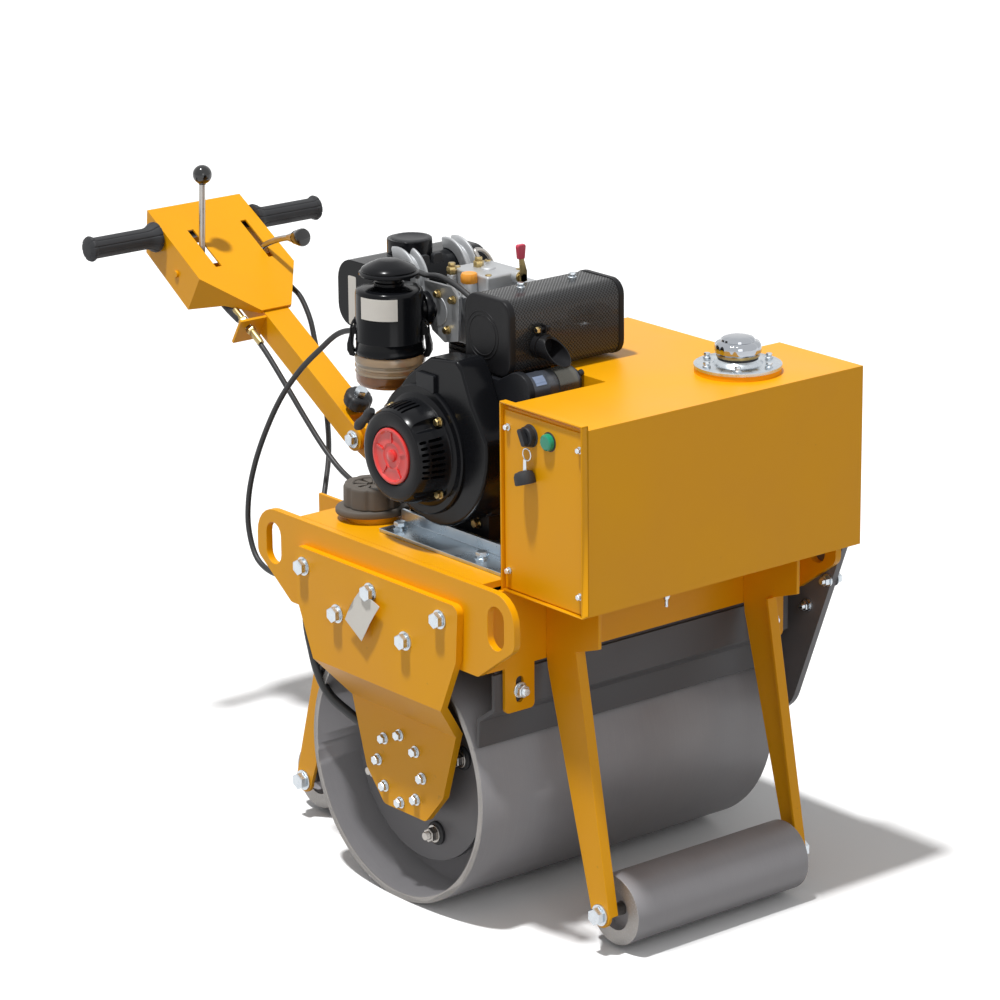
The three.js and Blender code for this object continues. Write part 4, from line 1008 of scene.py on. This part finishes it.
lathe("filler_cap", [
    (0, 874), (33, 874), (35.5, 877), (35.8, 884), (35, 889), (32.5, 892), (28, 893.5),
    (26.5, 894), (25.5, 897), (22, 899.5), (14, 901), (0, 901)], filler, Z, 120, "frame",
    chrome, "chrome", lobe=lambda t: 1 - 0.035 * abs(math.sin(5 * t)) ** 6)

# %% Hydraulic oil cap
oil_cap = at(-130, -236, 0)
WINGS = math.radians(-115)
bm = bmesh.new()
turn(bm, [(0, 588), (50, 588), (57, 589.5), (58.5, 592), (58.5, 597), (56.5, 600), (50, 601.5),
          (0, 601.5)], oil_cap, Z, 96, lobe=lambda t: 1 - 0.18 * math.sin(t - WINGS) ** 2)
turn(bm, [(0, 602), (45, 602), (45.5, 604), (45.2, 631), (44.2, 634.5), (42, 636), (31, 636),
          (29.5, 634.5), (29, 630.5), (0, 630.5)], oil_cap, Z, 144,
     lobe=lambda t: 1 - 0.05 * max(0.0, math.cos(8 * t)) ** 3)
for k in range(8):
    t = math.tau * (k + 0.5) / 8
    plate(bm, [(8, -2.4), (30, -7.5), (30, 7.5), (8, 2.4)], shift(oil_cap, 0, 0, 629),
          ray(X, Y, t), ray(Y, -X, t), 5)
make("oil_cap", bm, "frame", dusty_plastic, "black_rubber", 0.8, ("oil_filler_cap",))

# %% Folded rim round the end panel of the hood
rim_left, rim_right, rim_low, rim_high = 242.8, 428.2, 563.8, 854.2
SHEET, RIM_DEPTH = 2.5, 12
bm = bmesh.new()
for x0, x1, z0, z1 in ((rim_left, rim_right, rim_high - SHEET, rim_high),
                       (rim_left, rim_right, rim_low, rim_low + SHEET),
                       (rim_left, rim_left + SHEET, rim_low + SHEET, rim_high - SHEET),
                       (rim_right - SHEET, rim_right, rim_low + SHEET, rim_high - SHEET)):
    plate(bm, [(x0, z0), (x1, z0), (x1, z1), (x0, z1)], at(0, -271, 0), X, Z, RIM_DEPTH)
make("hood_end_rim", bm, "frame", yellow, "yellow_paint", 0.6)

# %% Key switch and hanging key cover
key_face = -275.2
switch = at(307, key_face, 814)
bm = bmesh.new()
turn(bm, [(0, 0), (17.5, 0), (17.5, 3), (15.5, 4.5), (15, 12), (13.5, 14), (8, 14), (7.5, 12),
          (0, 12)], switch, -Y, 36)
plate(bm, rounded(9, 27, 4), shift(switch, 0, -12, 0), (X + Z * 0.5).normalized(),
      (Z - X * 0.5).normalized(), 9)
make("key_switch_body", bm, "frame", plastic, "black_plastic", 0.5, ("key_switch",))
bm = bmesh.new()
ring_middle = shift(switch, 3, -12, -26)
sweep(bm, [ring_middle + ray(Z, X, math.tau * k / 24) * 9 * MM for k in range(25)], 0.9, 8)
plate(bm, [(-4, -9), (4, -9), (3, 12), (-3, 12)], shift(switch, 0, -12, -46), X, Z, 1.6)
make("key_ring", bm, "frame", zinc, "zinc")
lathe("key_cover", [(0, -9), (15, -9), (16, -7), (15.5, 4), (13, 9), (6, 11), (0, 11)],
      shift(switch, 0, -14, -62), Z * 0.95 - X * 0.3, 32, "frame", rubber, "black_rubber")

# %% Indicator lamp
lamp_face = at(350, key_face, 814)
lathe("lamp_bezel", [(0, 0), (15, 0), (15, 2.5), (13.5, 4), (0, 4)], lamp_face, -Y, 36,
      "frame", plastic, "black_plastic")
lathe("lamp_lens", [(0, 3), (12.8, 3), (13, 6), (12, 10), (10, 11.6), (0, 12)], lamp_face, -Y,
      36, "frame", green, "green_plastic", stands_for=("indicator_lamp",))

# %% [markdown]
# ## Handle: grips, levers and lock
# The grips are moulded rubber with lengthwise ribs and a flange at each end, so hands don't
# slip. The travel lever is a steel rod with a ball, the vibration lever is bent and ends in a
# tapered knob. All of them ride the handle's body.

# %% Grips
bar = handle(522, 0, 6)
grip_profile = [
    (0, 99), (22, 99), (25.5, 101), (26, 105), (24.5, 109), (21, 114), (18.8, 120), (18, 126),
    (18, 226), (18.6, 229), (21, 231), (21.8, 234), (20.5, 237), (16, 239), (13, 241), (0, 241)]
for side, direction in (("right", -Y), ("left", Y)):
    lathe(side + "_rubber_grip", grip_profile, bar, direction, 120, "handle", rubber,
          "black_rubber", stands_for=(side + "_grip",),
          lobe=lambda t: 1 - 0.06 * max(0.0, math.cos(10 * t)) ** 10)

# %% Right lever: a straight rod with a ball
RIGHT_LEVER, LEFT_LEVER, BALL = -46, 64, 16.4
ball, foot = handle(524, RIGHT_LEVER, 134), handle(447, RIGHT_LEVER, -13)
bm = bmesh.new()
sweep(bm, [foot.lerp(ball, t / 6) for t in range(7)], 5.4)
make("right_lever_rod", bm, "handle", steel, "zinc", stands_for=("right_lever",))
ball_profile = [(BALL * math.cos(t), BALL * math.sin(t))
                for t in (math.radians(a) for a in range(-60, 90, 10))]
lathe("right_lever_ball", [(0, -17), (6, -17), (7, -14)] + ball_profile + [(0, BALL)], ball,
      ball - foot, 40, "handle", gloss_plastic, "black_plastic")

# %% Left lever: a bent rod with a tapered knob
bend, tip = handle(392, LEFT_LEVER, 84), handle(365, LEFT_LEVER, 108)
bm = bmesh.new()
sweep(bm, smooth([handle(447, LEFT_LEVER, -13), handle(440, LEFT_LEVER, 20),
                  handle(420, LEFT_LEVER, 52), bend, tip], 8), 5.2)
turn(bm, [(0, -34), (5.4, -34), (10.5, -12), (0, -12)], tip, tip - bend, 32)
make("left_lever_rod", bm, "handle", steel, "zinc", stands_for=("left_lever",))
lathe("left_lever_knob", [(0, -13), (10.8, -13), (12, -11), (15, 4), (15.6, 8), (14.6, 11),
                          (10, 12.5), (0, 13)], tip, tip - bend, 36, "handle", gloss_plastic,
      "black_plastic")

# %% Hubs and quadrant plates of the levers
bm = bmesh.new()
for y in (RIGHT_LEVER, LEFT_LEVER):
    turn(bm, [(0, -9), (11, -9), (11, 9), (0, 9)], handle(447, y, -13), Y, 28)
make("lever_hubs", bm, "handle", steel, "zinc", 0.8)
bm = bmesh.new()
for y in (RIGHT_LEVER, LEFT_LEVER):
    plate(bm, rounded(132, 30, 4), handle(458, y, -16), UP_HANDLE, Y, 3)
make("lever_quadrants", bm, "handle", satin_black, "satin_black")

# %% Lock knob and hinge nuts
knob = handle(46, 0, 20.5)
lathe("lock_knob", [(0, 0), (9, 0), (9, 6), (13, 9), (22, 12), (23.5, 15), (23.5, 27), (22, 30),
                    (17, 33), (0, 34)], knob, OFF_HANDLE, 70, "handle", plastic,
      "black_plastic", stands_for=("handle_lock_knob",),
      lobe=lambda t: 1 - 0.06 * max(0, math.cos(7 * t)) ** 4)
bm = bmesh.new()
hexagon(bm, knob, OFF_HANDLE, 18, 33, 45)
make("lock_knob_nut", bm, "handle", zinc, "zinc")
for side, axis in (("right", -Y), ("left", Y)):
    cheek = at(HINGE_X, axis.y * 25.2, HINGE_HEIGHT)
    bm = bmesh.new()
    washer(bm, cheek, axis, 15, 0, 2.5)
    hexagon(bm, cheek, axis, 19, 2.5, 11)
    make(side + "_hinge_nut", bm, "handle", zinc, "zinc")

# %% [markdown]
# ## Cables and hoses
# Three control cables run from the console and the engine down to the hydraulic pump. They are
# steel wires in braided covers, so they bend in wide even curves. Two of them cross the handle's
# hinge, so they ride no body and keep the shape they are drawn in. All three are held at both
# ends.

# %% Cables
CABLE = 4.6  # radius of a cover
right_route = [handle(405, -56, -8), handle(360, -56, -9), handle(318, -56, -5),
               handle(286, -56, 1), handle(262, -56, -1)] + [at(*p) for p in (
    (-652, -56, 706), (-590, -54, 650), (-548, -52, 610), (-500, -52, 572), (-450, -54, 545),
    (-380, -58, 528), (-300, -62, 520), (-222.6, -62, 518), (-208.6, -62, 518))]
left_route = [handle(409, 82, -8), handle(391, 86, -8), handle(364, 88, -9)] + [at(*p) for p in (
    (-751, 88, 762), (-719, 84, 730), (-698, 78, 696), (-660, 64, 636), (-624, 45, 586),
    (-592, 24, 552), (-562, 0, 528), (-535, -26, 503), (-506, -56, 466), (-466, -86, 442),
    (-410, -106, 434), (-340, -112, 442), (-270, -112, 456), (-222.6, -112, 460),
    (-208.6, -112, 460))]
throttle_route = [at(*p) for p in (
    (-88.6, -120, 770), (-102, -120, 770), (-124, -124, 786), (-190, -138, 820),
    (-262, -150, 836), (-312, -156, 826), (-356, -166, 790), (-396, -176, 750),
    (-430, -188, 702), (-462, -198, 640), (-486, -206, 576), (-496, -212, 520),
    (-492, -216, 470), (-462, -222, 428), (-404, -226, 416), (-330, -226, 440),
    (-268, -226, 470), (-222.6, -226, 480), (-208.6, -226, 480))]
for name, route in (("right_control_cable", right_route), ("left_control_cable", left_route),
                    ("throttle_cable", throttle_route)):
    crosses_hinge = name != "throttle_cable"
    bm = bmesh.new()
    sweep(bm, smooth(route, 8), CABLE)
    cable = make(name + "_cover", bm, None if crosses_hinge else "frame", hose,
                 "black_rubber", stands_for=(name,))
    if crosses_hinge:
        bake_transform(cable)

# %% Ferrules at the rear plate and the clip under the console
rear_face, rearward = cross_faces["rear"]
bm = bmesh.new()
for y, z in ((-62, 518), (-112, 460), (-226, 480)):
    seat = Vector((rear_face, at(0, y, 0).y, z * MM))
    hexagon(bm, seat, rearward, 15, 0.2, 7)
    turn(bm, [(0, 6), (6, 6), (6.5, 8), (6.5, 22), (5.6, 30), (0, 30)], seat, rearward, 20)
make("cable_ferrules", bm, "frame", zinc, "zinc")
bm = bmesh.new()
along = -UP_HANDLE
clip = handle(286, -56, 1)
for low, high in ((-20, -8), (4, 14)):
    hexagon(bm, clip, along, 14, low, high)
turn(bm, [(0, 13), (6, 13), (6.4, 15), (6.4, 34), (5.4, 42), (0, 42)], clip, along, 20)
turn(bm, [(0, -44), (5, -44), (6, -40), (6, -20), (0, -20)], clip, along, 20)
make("cable_clip_nuts", bm, "handle", yellow_zinc, "zinc")
bm = bmesh.new()
sweep(bm, smooth([handle(u, -56, w) for u, w in ((304, -2), (322, -5), (345, -8), (372, -9))], 5),
      [6.5] * 2 + [8.4] * 12 + [7.0] * 2)
make("cable_boot", bm, "handle", rubber, "black_rubber")

# %% Hydraulic hose behind the drum bracket
hose_route = [at(*p) for p in (
    (-206, -296, 500), (-216, -299, 450), (-222, -300, 400), (-212, -300, 360),
    (-196, -299, 318), (-176, -294, 288), (-140, -280, 262), (-98, -266, 240), (-66, -262, 226))]
bm = bmesh.new()
sweep(bm, smooth(hose_route, 6), 7.5)
make("drum_hose", bm, "frame", hose, "black_rubber")

# %% Blank tag on a bracket bolt
tag_corners = [(-15, 513), (32, 498), (-12, 432), (-53, 457)]
TAG_STEPS, TAG_CURL = 4, 3
tag_front = []
for i, (x, z) in enumerate(tag_corners):
    nx, nz = tag_corners[(i + 1) % 4]
    for k in range(TAG_STEPS):
        share = k / TAG_STEPS
        curl = TAG_CURL * math.sin(math.pi * share) * (i % 2) + 2 * (i > 1)
        tag_front.append(at(x + (nx - x) * share, -350 - curl, z + (nz - z) * share))
bm = bmesh.new()
skin(bm, [tag_front, [shift(p, 0, 0.5, 0) for p in tag_front]])
make("blank_tag", bm, "frame", paper, "black_plastic")

# %% [markdown]
# ## The solids get their finish
# Plate, castings and tube already have the right shape. Each is given its finish, its flat
# triangles are merged into faces, and a small bevel rounds the edges as paint and pressing do.
# Modifiers do this, so the points of the solid's own mesh stay as they are. The two cross
# plates keep their triangles, because one merged face with that many corners fills in wrongly.

# %% Finish of every solid that stays
solid_finish = {
    yellow: ("right_side_plate left_side_plate deck_plate front_cross_plate rear_cross_plate "
             "right_drum_bracket front_right_leg front_left_leg rear_right_leg rear_left_leg "
             "hood tank_side_panel handle_lug handle_arm console lever_shaft"),
    carrier_paint: "right_hub_carrier left_drive_carrier",
    shade_darkened_scraper_paint: "front_scraper rear_scraper",
    satin_black: "handlebar muffler",
    cast_black: "crankcase",
    gloss_black: "fuel_tank air_cleaner fan_shroud",
    cast_alloy: "cylinder_head right_tank_strap left_tank_strap",
    zinc_sheet: "right_engine_rail left_engine_rail",
    steel: "front_roller_axle rear_roller_axle handle_pin starter_motor",
}
finish_of = {name: m for m, names in solid_finish.items() for name in names.split()}
finish_of.update(rolled)
edge_radius = {"drum": 0.0, "front_support_roller": 0.6, "rear_support_roller": 0.6,
               "hood": 1.6, "fuel_tank": 2.5, "console": 1.2, "fan_shroud": 5.0,
               "cylinder_head": 4.0, "crankcase": 2.0}
PLATE_RADIUS = 0.8
for name, solid in solids.items():
    solid.data.materials.clear()
    solid.data.materials.append(finish_of.get(name, plastic))
    shade_smooth(solid.data)
    weld = solid.modifiers.new("weld", "WELD")
    weld.merge_threshold = 0.02 * MM
    if name not in ("front_cross_plate", "rear_cross_plate"):
        flat = solid.modifiers.new("merge flat faces", "DECIMATE")
        flat.decimate_type, flat.angle_limit = "DISSOLVE", math.radians(0.6)
    bevel = solid.modifiers.new("edge radius", "BEVEL")
    bevel.width = edge_radius.get(name, PLATE_RADIUS) * MM
    bevel.segments = 3 if name in edge_radius else 2
    bevel.limit_method, bevel.angle_limit = "ANGLE", math.radians(28)
    solid.modifiers.new("flat faces", "WEIGHTED_NORMAL")
print("finished solids:", len(finish_of))

# %% [markdown]
# ## Floor, light and camera
# A plain pale floor and soft light show the shape without drama. A high soft sun shines nearly
# straight down, so tops are bright and upright faces are calmer, and the sky fills the shadows.
# The camera, mirror reflections and clear parts see a white floor and sky. To everything else
# the floor is a mid grey, so it doesn't throw too much light back up at the machine.

# %% Floor
WHITE, MID_GREY = (1.0, 1.0, 1.0, 1), (0.26, 0.26, 0.26, 1)


def seen_white(material):
    """1 for camera, mirror and clear rays, which see white, and 0 for the rest."""
    rays = node(material, "ShaderNodeLightPath").outputs
    mirror = node(material, "ShaderNodeMath", {0: rays["Is Camera Ray"],
                  1: rays["Is Glossy Ray"]}, operation="MAXIMUM")
    return node(material, "ShaderNodeMath", {0: mirror.outputs[0],
                1: rays["Is Transmission Ray"]}, operation="MAXIMUM").outputs[0]


bm = bmesh.new()
bmesh.ops.create_grid(bm, x_segments=1, y_segments=1, size=30)
floor = mesh_object("floor", bm)
floor_paint = bpy.data.materials.new("pale studio floor")
floor_paint.use_nodes = True
shader_of(floor_paint).inputs["Roughness"].default_value = 0.9
shader_of(floor_paint).inputs["Specular IOR Level"].default_value = 0.1
floor_colour = node(floor_paint, "ShaderNodeMix", {FACTOR: seen_white(floor_paint),
                    UNDER: MID_GREY, OVER: WHITE}, data_type="RGBA")
feed(floor_paint, Base_Color=floor_colour.outputs[MIXED])
floor.data.materials.append(floor_paint)

# %% Sky and sun
SKY_LIGHT = 0.36  # how bright the sky is to the object
world = bpy.data.worlds.new("soft sky")
bpy.context.scene.world = world
world.use_nodes = True
sky = world.node_tree.nodes["Background"]
sky_level = node(world, "ShaderNodeMapRange", {"Value": seen_white(world), "To Min": SKY_LIGHT,
                                               "To Max": 1.0})
sky.inputs["Color"].default_value = WHITE
world.node_tree.links.new(sky_level.outputs["Result"], sky.inputs["Strength"])


def lamp(name, kind, energy, toward, where, **settings):
    """A lamp that shines toward a direction."""
    data = bpy.data.lights.new(name, kind)
    data.energy = energy
    for key, value in settings.items():
        setattr(data, key, value)
    new = place_object(name, data)
    new.rotation_euler = Vector(toward).to_track_quat("-Z", "Y").to_euler()
    new.location = where


lamp("high sun", "SUN", 3.1, (0.0, 0.27, -1.0), (0, 0, 4), angle=math.radians(4))
lamp("front softbox", "AREA", 14, (-0.85, 0.35, -0.30), (3.2, -1.6, 1.9), shape="RECTANGLE",
     size=1.6, size_y=1.6)

# %% Camera
LENS, SENSOR = 146.4, 36.0
EYE, TARGET, ROLL = at(4688, -3888, 2452), at(-623.16, 418.64, 362.04), math.radians(-0.54)
camera_data = bpy.data.cameras.new("camera")
camera_data.lens, camera_data.sensor_width = LENS, SENSOR
camera = place_object("camera", camera_data)
look = (TARGET - EYE).to_track_quat("-Z", "Y").to_matrix().to_4x4()
tilt = look @ Matrix.Rotation(ROLL, 4, "Z")
camera.matrix_world = Matrix.Translation(EYE) @ tilt
bpy.context.scene.camera = camera
bpy.context.scene.view_settings.view_transform = "Standard"
print("camera:", [round(v, 3) for v in EYE])
